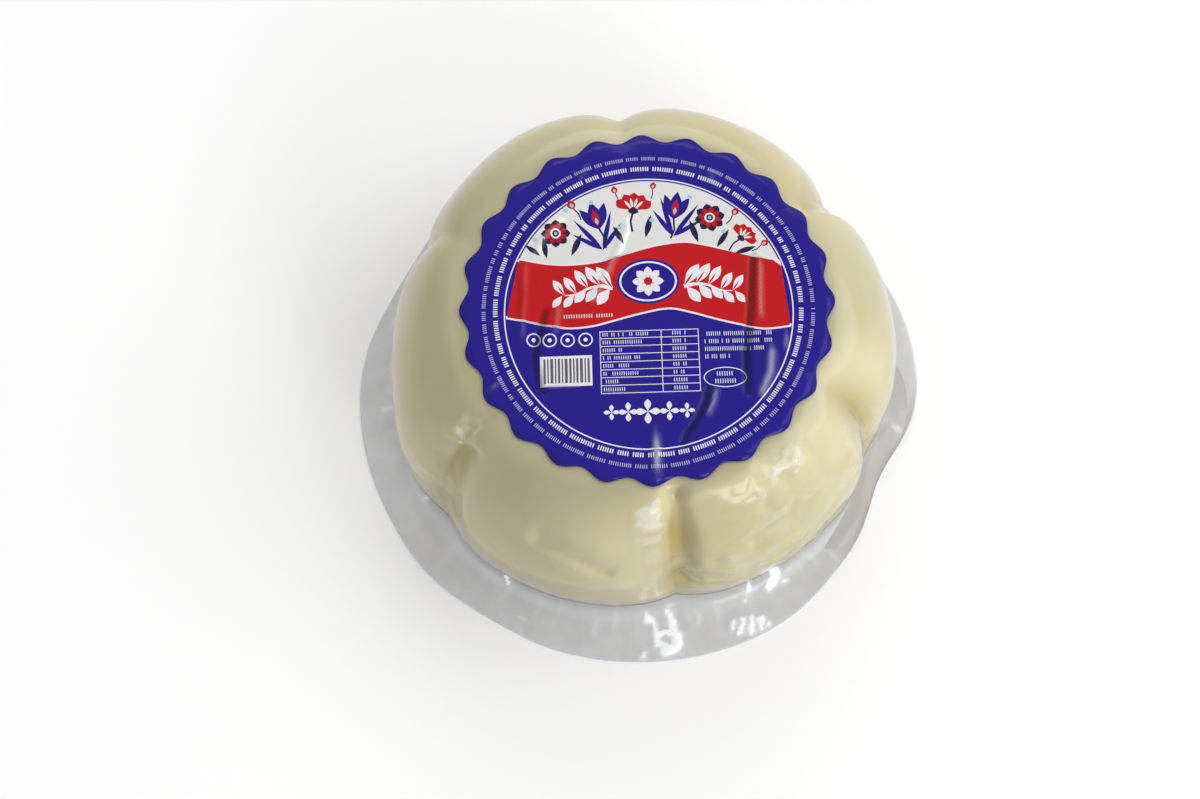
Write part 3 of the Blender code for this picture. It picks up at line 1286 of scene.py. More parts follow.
    def build(self) -> bpy.types.Object:
        """Models the film.

        Returns:
            The piece.
        """
        outline = self.form.outline(self.top_levels, self.shoulder_levels, self.side_levels, self.foot_levels)
        outline = outline.kept(outline.height > self.leave_height - self.form.lift)
        on_block = len(outline.radius)
        levels = on_block + self.skirt_levels + self.flat_levels + self.under_levels + 2
        roll = Roll.add("film", levels, self.columns)
        angle = roll.angles()
        block_radius, block_height = self.form.surface(outline, angle, self.gap)
        turned = angle + 0.0 * outline.along[:, None]
        along = outline.along[:, None] + 0.0 * angle
        crease = side_lift([*FILM_FOLDS, *self.random_folds()], turned, along)
        shown = smooth_step(self.shown_from, self.shown_full, along)
        raised = crease + self.unevenness(block_radius, turned, block_height) * shown
        block_radius = block_radius + raised * outline.out[:, None]
        block_height = block_height + raised * outline.up[:, None]
        skirt_radius, skirt_height = self.skirt(block_radius[-1], block_height[-1])
        flat_radius, flat_height = self.flat(angle)
        around_radius = np.vstack((skirt_radius, flat_radius))
        around_height = np.vstack((skirt_height, flat_height))
        folds = self.flange_lift(angle, around_radius)
        puckers = self.puckers(angle, around_radius)
        around_height = around_height + np.maximum(folds + puckers, -self.deepest_fold)
        under_radius, under_height = self.underside(around_radius[-1], around_height[-1])
        # The crease mask paints creases, folds and puckers white, partly as whitened film and partly as
        # painted highlight; the painted sheen adds haze and white.
        masks = self.masks(on_block, crease, folds + self.pucker_whiteness * puckers, levels)
        sheen = self.sheen(turned, along, block_height)
        masks["haze"][:on_block] += sheen
        shine = np.minimum(1.0, self.sheen_crease * sheen)
        masks["crease"][:on_block] = np.maximum(masks["crease"][:on_block], shine)
        radius = np.vstack((block_radius, around_radius, under_radius))
        height = np.vstack((block_height, around_height, under_height))
        roll.shape(radius, height, masks)
        roll.piece.data.materials.append(self.finish.build())
        join_solid(roll.piece, "clear_film", "film_flange", "butter_block")
        return roll.piece

    def unevenness(self, radius: np.ndarray, angle: np.ndarray, height: np.ndarray) -> np.ndarray:
        """Small soft unevenness of the film on the block.

        Args:
            radius: Radius at each level and column.
            angle: Direction there.
            height: Height there.

        Returns:
            How far it lifts the film, in metres.
        """
        places = grid_places(radius, angle, height)
        wave = soft_noise(places, self.rough_size, self.rough_seed)
        return self.rough_height * (1.0 + wave).reshape(radius.shape)

    def flange_lift(self, angle: np.ndarray, radius: np.ndarray) -> np.ndarray:
        """How far the drawn folds lift the film round the block, with slightly ragged lines.

        Args:
            angle: Directions in radians.
            radius: Radius for each level and column.

        Returns:
            The lift in metres at each place.
        """
        x, y = radius * np.cos(angle) / MM, radius * np.sin(angle) / MM
        places = np.column_stack((x.ravel(), y.ravel(), 0.0 * x.ravel()))
        ragged = self.ragged * soft_noise(places, self.ragged_size, self.ragged_seed).reshape(x.shape)
        return lift_of(FLANGE_FOLDS, x + ragged, y + self.ragged_share * ragged)

    def skirt(self, radius: np.ndarray, height: np.ndarray) -> tuple[np.ndarray, np.ndarray]:
        """The film's run from the block's side out to the flat film.

        Args:
            radius: Where it leaves the block, for each column.
            height: The height there.

        Returns:
            Radius and height for each level and column.
        """
        share = np.linspace(0.0, 1.0, self.skirt_levels + 1)[1:, None]
        knee_radius = radius + self.knee_share * (self.flat_start - radius)
        knee_height = self.thickness + self.knee_rise
        first, middle, last = (1.0 - share) ** 2, 2.0 * share * (1.0 - share), share**2
        at = first * radius + middle * knee_radius + last * self.flat_start
        return at, first * height + middle * knee_height + last * self.thickness

    def sheen(self, angle: np.ndarray, along: np.ndarray, height: np.ndarray) -> np.ndarray:
        """Painted sheen: paler facets, standing in for highlights, where the film has let go of the butter.

        Args:
            angle: Direction at each level and column.
            along: Distance along the surface there.
            height: Height there.

        Returns:
            How much haze each place gains.
        """
        look = self.sheen_look
        turned = SIDE_STRETCH * np.remainder(np.degrees(angle), 360.0)
        flattened = look.height_share * height.ravel() / MM
        places = np.column_stack((turned.ravel(), along.ravel() / MM, flattened))
        ragged = soft_noise(places, look.ragged_size, look.ragged_seed).reshape(angle.shape)
        total = np.zeros(angle.shape)
        for left, right, top, low, strength in self.sheen_patches:
            across = (turned - 0.5 * SIDE_STRETCH * (left + right)) / (0.5 * SIDE_STRETCH * (right - left))
            down = (along / MM - 0.5 * (top + low)) / (0.5 * (low - top))
            away = (across**4 + down**4) ** 0.25 + look.ragged * ragged
            total = np.maximum(total, strength * (1.0 - smooth_step(*look.edge, away)))
        slack = self.form.slack(angle, along)
        loose = slack.ravel() > look.tight
        bend = soft_noise(places[loose], look.facet_size, look.bend_seed)
        bent = places[loose] + look.bend * bend[:, None]
        rise, tone = facets(bent * look.stretch, look.facet_size, look.facet_seed)
        glint = np.zeros(slack.size)
        glint[loose] = smooth_step(*look.bright_tones, tone) * smooth_step(*look.facet_edge, rise)
        return np.maximum(total, self.facet_sheen * slack * glint.reshape(slack.shape))

    def puckers(self, angle: np.ndarray, radius: np.ndarray) -> np.ndarray:
        """Short radial puckers round the block's foot.

        Args:
            angle: Directions in radians.
            radius: Radius for each level and column.

        Returns:
            How far they lift the film, in metres.
        """
        dice = random.Random(self.seed + 1)
        rows = []
        for index in range(self.pucker_count):
            height = dice.choice(self.pucker_heights) * MM
            direction = self.pucker_step * index + dice.uniform(-self.pucker_stray, self.pucker_stray)
            rows.append((direction, dice.uniform(*self.pucker_width), height))
        near = 1.0 - smooth_step(self.flat_start, self.flat_start + self.pucker_reach, radius)
        return sum_of_bells(angle, rows)[None, :] * near

    def flat(self, angle: np.ndarray) -> tuple[np.ndarray, np.ndarray]:
        """The flat film out to its rim.

        Args:
            angle: Directions in radians.

        Returns:
            Radius and height for each level and column.
        """
        share = np.linspace(0.0, 1.0, self.flat_levels + 1)[1:, None]
        rim = self.radius - sum_of_bells(angle, self.dips)[None, :]
        radius = self.flat_start + (rim - self.flat_start) * share
        places = grid_places(radius, angle, 0.0 * radius)
        wave = soft_noise(places, self.wave_size, self.wave_seed).reshape(radius.shape)
        curl = sum_of_bells(angle, self.curls)[None, :] * share**2
        return radius, self.thickness + curl + self.wave_height * (wave + self.wave_base) * share

    def underside(self, radius: np.ndarray, height: np.ndarray) -> tuple[np.ndarray, np.ndarray]:
        """The film's lower face, from the rim to the middle.

        Args:
            radius: Radius of the rim, for each column.
            height: Height of the rim's upper edge.

        Returns:
            Radius and height for each level and column.
        """
        share = np.linspace(1.0, 0.0, self.under_levels + 1)[:, None]
        near_rim = np.clip(1.0 - self.under_levels * (1.0 - share), 0.0, 1.0)
        lower = np.maximum(0.0, height - self.thickness) * near_rim
        side = height[None, :] - 0.5 * self.thickness
        return np.vstack((radius[None, :], radius * share)), np.vstack((side, lower))

    def masks(
        self, on_block: int, crease: np.ndarray, lift: np.ndarray, levels: int
    ) -> dict[str, np.ndarray]:
        """How hazy the film is, and how white its creases and folds are painted: partly whitened film, partly
        painted highlight.

        Args:
            on_block: Levels on the block.
            crease: The lift of the folds on the block.
            lift: The lift of the folds round the block.
            levels: All levels.

        Returns:
            The masks by name.
        """
        haze = np.full((levels, self.columns), self.haze_sealed)
        white = np.zeros((levels, self.columns))
        white[:on_block] = np.clip(crease / self.white_crease, 0.0, 1.0)
        haze[:on_block] = self.haze_on_butter + self.haze_of_crease * white[:on_block]
        fall = smooth_step(0.0, self.haze_fall, np.linspace(0.0, 1.0, self.skirt_levels))[:, None]
        flat_start = on_block + self.skirt_levels
        haze[on_block:flat_start] = self.haze_at_foot + fall * (self.haze_sealed - self.haze_at_foot)
        around = slice(on_block, flat_start + self.flat_levels)
        white[around] = np.clip(lift / self.white_fold, 0.0, 1.0)
        haze[around] = np.maximum(haze[around], self.haze_of_fold * white[around])
        return {"haze": haze, "crease": white}


def arc(centre: tuple[float, float], radius: float, start: float, end: float, steps: int) -> Points:
    """Points on an arc, from one direction to another in degrees."""
    turns = [math.radians(start + (end - start) * step / steps) for step in range(steps + 1)]
    return [(centre[0] + radius * math.cos(turn), centre[1] + radius * math.sin(turn)) for turn in turns]


def circle(x: float, y: float, radius: float, steps: int = 20) -> Points:
    """A circle."""
    return arc((x, y), radius, 0.0, 360.0, steps)[:-1]


def oval(x: float, y: float, wide: float, high: float, steps: int = 32) -> Points:
    """An oval of a whole width and height."""
    return [(x + 0.5 * wide * px, y + 0.5 * high * py) for px, py in circle(0.0, 0.0, 1.0, steps)]


def bar(x0: float, y0: float, x1: float, y1: float) -> Points:
    """An upright rectangle between two corners."""
    return [(x0, y0), (x1, y0), (x1, y1), (x0, y1)]


def placed(points: Points, x: float, y: float, turn: float, scale: float) -> Points:
    """Points turned by degrees, scaled and moved."""
    cos, sin = scale * math.cos(math.radians(turn)), scale * math.sin(math.radians(turn))
    return [(x + px * cos - py * sin, y + px * sin + py * cos) for px, py in points]


def petal(length: float, width: float, tip: float = 0.6, steps: int = 7) -> Points:
    """A petal from the origin upwards.

    Args:
        length: Its length.
        width: Its whole width.
        tip: Where it is widest, as a share of its length.
        steps: Points on each side.

    Returns:
        Its outline.
    """
    heights = [step / steps for step in range(steps + 1)]
    power = math.log(0.5) / math.log(tip)
    sides = [0.5 * width * math.sin(math.pi * height**power) for height in heights]
    right = [(side, length * height) for side, height in zip(sides, heights)]
    left = [(-side, length * height) for side, height in zip(sides, heights)]
    return right + left[-2:0:-1]


def stroke(points: Sequence[tuple[float, float]], width: float, taper: bool = False) -> Points:
    """A line drawn with a width.

    Args:
        points: Points along the line.
        width: Its width.
        taper: True for a line that narrows to its end.

    Returns:
        Its outline.
    """
    left, right = [], []
    last = len(points) - 1
    for index, (x, y) in enumerate(points):
        before, after = points[max(0, index - 1)], points[min(last, index + 1)]
        dx, dy = after[0] - before[0], after[1] - before[1]
        run = math.hypot(dx, dy)
        half = 0.5 * width * (1.0 - 0.8 * index / last if taper else 1.0)
        left.append((x - half * dy / run, y + half * dx / run))
        right.append((x + half * dy / run, y - half * dx / run))
    return right + left[::-1]


def clipped(points: Sequence[tuple[float, float]], centre: tuple[float, float], radius: float) -> Points:
    """Points pulled in to a circle where they lie outside it.

    Args:
        points: The points.
        centre: The circle's middle.
        radius: Its radius.

    Returns:
        The points inside the circle or on it.
    """
    kept = []
    for x, y in points:
        away = math.hypot(x - centre[0], y - centre[1])
        share = radius / max(away, radius)
        kept.append((centre[0] + share * (x - centre[0]), centre[1] + share * (y - centre[1])))
    return kept


@dataclass(frozen=True)
class BloomPart:
    """One part of a flower, drawn once for each swing in degrees round the flower's foot."""

    ink: Ink
    outline: Points
    swings: tuple[float, ...] = (0.0,)
    rise: float = 0.0


EIGHTHS = tuple(45.0 * step for step in range(8))
BETWEEN_EIGHTHS = tuple(22.5 + 45.0 * step for step in range(8))

BLOOMS = {
    Bloom.LEAF: (
        BloomPart(Ink.NAVY, petal(6.0, 1.5, 0.5)),
    ),
    Bloom.SPRAY: (
        BloomPart(Ink.BLUE, petal(7.6, 1.1, 0.42), (-48.0,)),
        BloomPart(Ink.BLUE, petal(9.6, 1.1, 0.42), (-26.0,)),
        BloomPart(Ink.BLUE, petal(9.8, 1.1, 0.42), (27.0,)),
        BloomPart(Ink.BLUE, petal(7.8, 1.1, 0.42), (46.0,)),
    ),
    Bloom.BUD: (
        BloomPart(Ink.NAVY, stroke([(0.0, -3.0), (0.3, -1.4), (0.0, 0.0)], 0.32)),
        BloomPart(Ink.RED, petal(2.6, 1.9, 0.5)),
        BloomPart(Ink.TURQUOISE, petal(1.2, 0.8, 0.5), rise=0.5),
    ),
    Bloom.TULIP: (
        BloomPart(Ink.NAVY, stroke([(0.0, -4.6), (0.5, -2.4), (0.0, 0.2)], 0.42)),
        BloomPart(Ink.BLUE, petal(6.4, 2.2, 0.5), (26.0, -26.0)),
        BloomPart(Ink.BLUE, petal(6.8, 2.8, 0.5)),
        BloomPart(Ink.RED, petal(4.2, 1.5, 0.45), rise=0.8),
        BloomPart(Ink.TURQUOISE, petal(1.7, 0.7, 0.5), rise=1.2),
    ),
    Bloom.FAN: (
        BloomPart(Ink.NAVY, stroke([(0.0, -4.0), (-0.4, -2.0), (0.0, 0.2)], 0.40)),
        BloomPart(Ink.RED, petal(3.9, 2.0, 0.72), (-56.0, -28.0, 0.0, 28.0, 56.0)),
        BloomPart(Ink.SILVER, petal(2.6, 0.5, 0.6), (-42.0, -14.0, 14.0, 42.0), rise=0.3),
        BloomPart(Ink.NAVY, petal(1.6, 1.9, 0.4), rise=-0.5),
    ),
    Bloom.ROSETTE: (
        BloomPart(Ink.NAVY, petal(3.3, 2.0, 0.68), EIGHTHS),
        BloomPart(Ink.RED, petal(2.5, 1.1, 0.70), BETWEEN_EIGHTHS),
        BloomPart(Ink.SILVER, circle(0.0, 0.0, 1.15, 16)),
        BloomPart(Ink.NAVY, circle(0.0, 0.0, 0.75, 14)),
        BloomPart(Ink.TURQUOISE, circle(0.0, 0.0, 0.36, 10)),
    ),
}


@dataclass(frozen=True)
class Flower:
    """A flower's place on the label, its turn in degrees from upright, and its size."""

    bloom: Bloom
    x: float
    y: float
    turn: float
    scale: float


FLOWERS = (
    Flower(Bloom.LEAF, -21.9, 11.6, 50.0, 0.7),
    Flower(Bloom.LEAF, -20.6, 11.0, 8.0, 0.8),
    Flower(Bloom.ROSETTE, -18.6, 16.6, 0.0, 0.95),
    Flower(Bloom.LEAF, -15.4, 11.4, -24.0, 0.9),
    Flower(Bloom.BUD, -14.6, 22.0, 30.0, 0.95),
    Flower(Bloom.SPRAY, -8.8, 12.6, 14.0, 0.95),
    Flower(Bloom.TULIP, -9.4, 17.2, 16.0, 0.98),
    Flower(Bloom.FAN, -2.2, 21.0, -4.0, 1.15),
    Flower(Bloom.LEAF, -4.4, 13.6, 26.0, 0.8),
    Flower(Bloom.BUD, -5.8, 25.2, 14.0, 0.75),
    Flower(Bloom.LEAF, 0.2, 15.0, -14.0, 0.9),
    Flower(Bloom.SPRAY, 6.0, 15.2, -12.0, 0.95),
    Flower(Bloom.TULIP, 6.2, 19.0, -10.0, 0.95),
    Flower(Bloom.ROSETTE, 13.8, 19.2, 10.0, 0.98),
    Flower(Bloom.LEAF, 11.2, 13.6, 18.0, 0.9),
    Flower(Bloom.LEAF, 15.0, 12.4, -34.0, 0.8),
    Flower(Bloom.FAN, 20.0, 14.2, -44.0, 0.90),
    Flower(Bloom.BUD, 18.6, 19.6, -36.0, 0.8),
    Flower(Bloom.LEAF, 18.6, 10.9, -72.0, 0.8),
    Flower(Bloom.BUD, 24.2, 12.6, -58.0, 0.75),
    Flower(Bloom.BUD, 2.0, 26.0, -10.0, 0.7),
)


@dataclass(frozen=True)
class StrokeRing:
    """A ring of fine upright strokes: its inner radius, their height and width, and degrees between them."""

    ink: Ink
    radius: float
    high: float
    wide: float
    step: float


@dataclass
class Artwork:
    """The label's print in millimetres of its own plane; later shapes lie over earlier ones."""

    radius: float = 39.0
    scallops: int = 24
    scallop_depth: float = 1.7
    scallop_turn: float = -1.2
    tilt: float = -1.2
    field_centre: tuple[float, float] = (0.3, -1.4)
    field_radius: float = 30.0
    line: float = 0.27
    # The rings of strokes: where each ends in degrees, strokes in a group, the gap after it, and the spread.
    ring_centre: tuple[float, float] = (0.2, -0.8)
    ring_end: float = 358.5
    ring_seed: int = 5
    ring_group: tuple[int, int] = (3, 11)
    ring_gap: float = 1.3
    ring_spread: tuple[float, float] = (0.9, 1.1)
    rings: tuple[StrokeRing, ...] = (
        StrokeRing(Ink.WHITE, 31.2, 0.95, 0.25, 0.90),
        StrokeRing(Ink.PALE, 33.7, 0.80, 0.18, 0.74),
    )
    band_top: tuple[tuple[float, float], ...] = (
        (-31.0, 12.4), (-26.8, 11.2), (-20.8, 9.8), (-15.6, 9.4), (-9.3, 10.0), (-3.0, 11.8), (2.5, 13.2),
        (8.0, 13.8), (11.8, 13.2), (15.9, 12.1), (21.0, 10.7), (26.2, 9.5), (31.0, 8.9),
    )
    band_foot: tuple[tuple[float, float], ...] = (
        (31.0, -5.2), (28.8, -5.6), (24.0, -6.0), (19.9, -5.1), (14.9, -3.8), (8.8, -1.9), (4.3, -1.0),
        (-1.6, -2.0), (-7.9, -3.6), (-12.0, -4.5), (-16.6, -4.7), (-21.3, -3.8), (-26.4, -2.6),
        (-31.0, -1.6),
    )
    dots: tuple[tuple[float, float], ...] = (
        (-16.4, 21.8), (-11.0, 23.4), (1.6, 19.0), (9.8, 24.0), (16.6, 16.0), (-23.0, 15.4), (-5.2, 17.4),
    )
    garland_centre: tuple[float, float] = (0.4, 5.2)
    stem_height: float = 4.8
    stem_runs: tuple[float, ...] = (7.4, 9.9, 12.4, 14.9, 17.4)
    panel_bars: tuple[float, ...] = (
        0.45, 0.3, 0.6, 0.3, 0.45, 0.3, 0.6, 0.45, 0.3, 0.45, 0.6, 0.3, 0.45,
    )
    panel_gap: float = 0.33
    # Left, low, right and top of the panel, its bars and the grid.
    panel_box: tuple[float, float, float, float] = (-22.4, -17.3, -11.7, -10.7)
    bars_box: tuple[float, float, float, float] = (-21.7, -16.6, -11.7, -11.3)
    grid_box: tuple[float, float, float, float] = (-10.0, -19.2, 10.4, -5.6)
    marks: tuple[tuple[float, float], ...] = ((-23.6, -7.0), (-20.3, -7.2), (-16.6, -7.3), (-12.9, -7.3))
    # Where the grid's columns part, the width of its lines, and how far each row's strokes run.
    grid_split: float = 2.6
    grid_line: float = 0.16
    grid_runs: tuple[float, ...] = (4.6, 3.2, 7.0, 5.2, 7.6, 4.0, 8.0, 9.6)
    # The lines of strokes beside the grid, from the lowest up.
    line_start: float = 11.6
    line_low: float = -12.2
    line_pitch: float = 1.65
    line_ends: tuple[float, ...] = (17.0, 24.0, 25.6, 25.6)
    oval_centre: tuple[float, float] = (15.5, -16.3)
    # Place to the right and size.
    ornaments: tuple[tuple[float, float], ...] = (
        (-8.0, 0.72), (-4.6, 0.9), (-0.6, 1.15), (3.8, 0.9), (7.4, 0.72),
    )
    ornament_height: float = -23.2
    tick_wide: float = 0.36
    tick_gaps: float = 0.14
    # How far apart the sheet's rows of points are, as a share of its pitch, and what counts as one point.
    row_share: float = 0.866
    same_point: float = 1e-5
    shapes: list[tuple[Ink, Points]] = field(default_factory=list)

    def add(self, ink: Ink, *outlines: Points) -> None:
        """Adds shapes of one ink."""
        self.shapes.extend((ink, outline) for outline in outlines)

    def draw(self) -> None:
        """Draws the whole label."""
        self.draw_ground()
        self.draw_rings()
        self.draw_band()
        self.draw_flowers()
        self.draw_garland()
        self.draw_lower_field()

    def draw_ground(self) -> None:
        """The blue ground with its scalloped edge, and the thin circle."""
        steps = 16 * self.scallops
        edge = []
        for step in range(steps):
            turn = math.tau * step / steps
            wave = 0.5 - 0.5 * math.cos(self.scallops * turn)
            radius = self.radius - self.scallop_depth * wave
            turn += math.radians(self.scallop_turn)
            edge.append((radius * math.cos(turn), radius * math.sin(turn)))
        self.add(Ink.BLUE, edge)
        self.add(Ink.WHITE, circle(*self.field_centre, self.field_radius, 180))
        self.add(Ink.BLUE, circle(*self.field_centre, self.field_radius - self.line, 180))

    def draw_rings(self) -> None:
        """Two rings of fine upright strokes round the circle."""
        dice = random.Random(self.ring_seed)
        for ring in self.rings:
            half = math.degrees(0.5 * ring.wide / ring.radius)
            turn, left = 0.0, 0
            while turn < self.ring_end:
                if left == 0:
                    left = dice.randint(*self.ring_group)
                    turn += self.ring_gap * ring.step
                    continue
                inner = arc(self.ring_centre, ring.radius, turn - half, turn + half, 1)
                outer = arc(self.ring_centre, ring.radius + ring.high, turn + half, turn - half, 1)
                self.add(ring.ink, inner + outer)
                turn += ring.step * dice.uniform(*self.ring_spread)
                left -= 1

    def draw_band(self) -> None:
        """The pale field over the red band, and the band's pale edges."""
        inside = self.field_radius - 2.2 * self.line
        top = clipped(self.band_top, self.field_centre, inside)
        foot = clipped(self.band_foot, self.field_centre, inside)
        sky = arc(self.field_centre, inside, self.direction(top[-1]), self.direction(top[0]), 60)
        self.add(Ink.SILVER, top + sky[1:-1])
        self.add(Ink.RED, top + foot)
        for edge, width in ((self.band_top, 0.36), (self.band_foot, 0.42)):
            self.add(Ink.WHITE, stroke(clipped(smoothed(edge), self.field_centre, inside), width))

    def direction(self, point: tuple[float, float]) -> float:
        """A point's direction from the field's middle, in degrees."""
        return math.degrees(math.atan2(point[1] - self.field_centre[1], point[0] - self.field_centre[0]))

    def draw_flowers(self) -> None:
        """Sprays of leaves, tulips, fans and rosettes on the pale field, with dots between them."""
        for flower in FLOWERS:
            for part in BLOOMS[flower.bloom]:
                for swing in part.swings:
                    outline = placed(part.outline, 0.0, part.rise, swing, 1.0)
                    self.add(part.ink, placed(outline, flower.x, flower.y, flower.turn, flower.scale))
        for x, y in self.dots:
            self.add(Ink.TURQUOISE, circle(x, y, 0.5, 10))

    def draw_garland(self) -> None:
        """A pale garland on the red band: a rosette in an oval wreath, with leaves to both sides."""
        x, y = self.garland_centre
        self.add(Ink.BLUE, oval(x, y, 13.0, 10.0))
        self.add(Ink.WHITE, oval(x, y, 12.0, 9.0))
        self.add(Ink.BLUE, oval(x, y, 11.2, 8.2))
        for turn in EIGHTHS:
            self.add(Ink.WHITE, placed(petal(3.3, 1.7, 0.66), x, y, turn, 1.0))
        self.add(Ink.RED, circle(x, y, 0.9, 16))
        for side in (-1.0, 1.0):
            self.draw_twig(side)

    def draw_twig(self, side: float) -> None:
        """A stem with its leaves beside the wreath.

        Args:
            side: 1 for the right side and -1 for the left one.
        """
        stem = []
        for run in self.stem_runs:
            droop = 0.016 * run**1.7
            height = self.stem_height - droop + 0.5 * math.sin(0.7 * run)
            stem.append((self.garland_centre[0] + side * run, height))
        self.add(Ink.WHITE, stroke(smoothed(stem), 0.9, taper=True))
        for index, (x, y) in enumerate(stem):
            size = 1.0 - 0.07 * index
            self.add(Ink.WHITE, placed(petal(5.9, 2.35, 0.58), x, y, -side * 34.0, size))
            self.add(Ink.RED, placed(petal(3.6, 0.45, 0.5), x, y, -side * 34.0, size))
            self.add(Ink.WHITE, placed(petal(4.6, 2.2, 0.58), x + 0.5 * side, y, -side * 142.0, size))

    def ticks(self, x0: float, x1: float, y: float, high: float, step: float, seed: int) -> None:
        """A row of fine upright strokes.

        Args:
            x0: Left end.
            x1: Right end.
            y: Lower edge.
            high: Height of the strokes.
            step: Distance from one to the next.
            seed: Seed of the gaps.
        """
        dice = random.Random(seed)
        x = x0
        while x < x1:
            if dice.random() > self.tick_gaps:
                self.add(Ink.WHITE, bar(x, y, x + self.tick_wide * step, y + high))
            x += step

    def draw_lower_field(self) -> None:
        """Everything under the band."""
        self.draw_panel()
        self.draw_marks()
        self.draw_grid()
        self.draw_lines()
        self.draw_ornaments()

    def draw_panel(self) -> None:
        """A pale panel with upright bars."""
        self.add(Ink.WHITE, bar(*self.panel_box))
        x, low, _, top = self.bars_box
        for wide in self.panel_bars:
            self.add(Ink.GREY, bar(x, low, x + wide, top))
            x += wide + self.panel_gap

    def draw_marks(self) -> None:
        """A row of small ringed dots."""
        for x, y in self.marks:
            self.add(Ink.WHITE, circle(x, y, 1.5, 22))
            self.add(Ink.BLUE, circle(x, y, 1.22, 20))
            self.add(Ink.WHITE, circle(x, y, 0.45, 12))

    def draw_grid(self) -> None:
        """A grid of two columns, with strokes in its fields."""
        left, low, right, top = self.grid_box
        thin, split = self.grid_line, self.grid_split
        self.add(Ink.WHITE, bar(left, low, right, top))
        last = len(self.grid_runs) - 1
        pitch = (top - low) / (last + 1)
        for row, run in enumerate(self.grid_runs):
            foot = low + row * pitch + thin
            head = low + (row + 1) * pitch - (thin if row == last else 0.0)
            self.add(Ink.BLUE, bar(left + thin, foot, split, head))
            self.add(Ink.BLUE, bar(split + thin, foot, right - thin, head))
            self.ticks(left + 0.6, left + 0.6 + run, foot + 0.36, 0.80, 0.46, row)
            self.ticks(split + 2.4, split + 5.0, foot + 0.36, 0.80, 0.5, 20 + row)

    def draw_lines(self) -> None:
        """Lines of strokes beside the grid, in an oval and on the band."""
        for row, end in enumerate(self.line_ends):
            self.ticks(self.line_start, end, self.line_low + self.line_pitch * row, 0.9, 0.44, 40 + row)
        self.add(Ink.WHITE, oval(*self.oval_centre, 8.9, 4.4))
        self.add(Ink.BLUE, oval(*self.oval_centre, 8.5, 4.0))
        self.ticks(13.8, 17.2, -16.0, 0.95, 0.5, 60)
        self.ticks(13.4, 17.6, -17.6, 0.95, 0.5, 61)
        self.ticks(-17.3, -7.4, -2.5, 0.8, 0.52, 62)

    def draw_ornaments(self) -> None:
        """A row of four-petalled ornaments at the foot."""
        for x, size in self.ornaments:
            for turn in EIGHTHS[::2]:
                self.add(Ink.WHITE, placed(petal(2.3, 1.25, 0.6), x, self.ornament_height, turn, size))

    def triangles(self, pitch: float) -> tuple[list[Vector], list[Sequence[int]], list[Ink]]:
        """Cuts all shapes into one sheet of triangles.

        Args:
            pitch: Distance between the sheet's own points, in millimetres.

        Returns:
            Points, triangles, and the ink of each triangle.
        """
        points, faces = [], []
        for index, (_, outline) in enumerate(self.shapes):
            around = outline if index == 0 else placed(outline, 0.0, 0.0, self.tilt, 1.0)
            if turned_area(around) < 0.0:
                around = around[::-1]
            faces.append(list(range(len(points), len(points) + len(around))))
            points.extend(Vector(point) for point in around)
        reach = self.radius - self.scallop_depth - 0.4 * pitch
        rows = int(2.0 * reach / (self.row_share * pitch))
        for row in range(rows + 1):
            y = -reach + row * self.row_share * pitch
            for column in range(int(2.0 * reach / pitch) + 1):
                x = -reach + (column + 0.5 * (row % 2)) * pitch
                if math.hypot(x, y) < reach:
                    points.append(Vector((x, y)))
        result = geometry.delaunay_2d_cdt(points, [], faces, 1, self.same_point, True)
        kept = [(face, max(sources)) for face, sources in zip(result[2], result[5]) if sources]
        return result[0], [face for face, _ in kept], [self.shapes[shape][0] for _, shape in kept]


def turned_area(points: Points) -> float:
    """An outline's area, less than 0 where it runs clockwise."""
    return 0.5 * sum(ax * by - bx * ay for (ax, ay), (bx, by) in zip(points, points[1:] + points[:1]))


def smoothed(points: Sequence[tuple[float, float]], steps: int = 6) -> Points:
    """A smooth line through points.

    Args:
        points: Points to pass through.
        steps: Points from one to the next.

    Returns:
        The finer line.
    """
    whole = [points[0], *points, points[-1]]
    result = []
    for a, b, c, d in zip(whole, whole[1:], whole[2:], whole[3:]):
        for step in range(steps):
            t = step / steps
            place = []
            for k in (0, 1):
                slope = c[k] - a[k]
                bend = 2 * a[k] - 5 * b[k] + 4 * c[k] - d[k]
                twist = 3 * b[k] - a[k] - 3 * c[k] + d[k]
                place.append(0.5 * (2 * b[k] + slope * t + bend * t**2 + twist * t**3))
            result.append(tuple(place))
    return [*result, points[-1]]


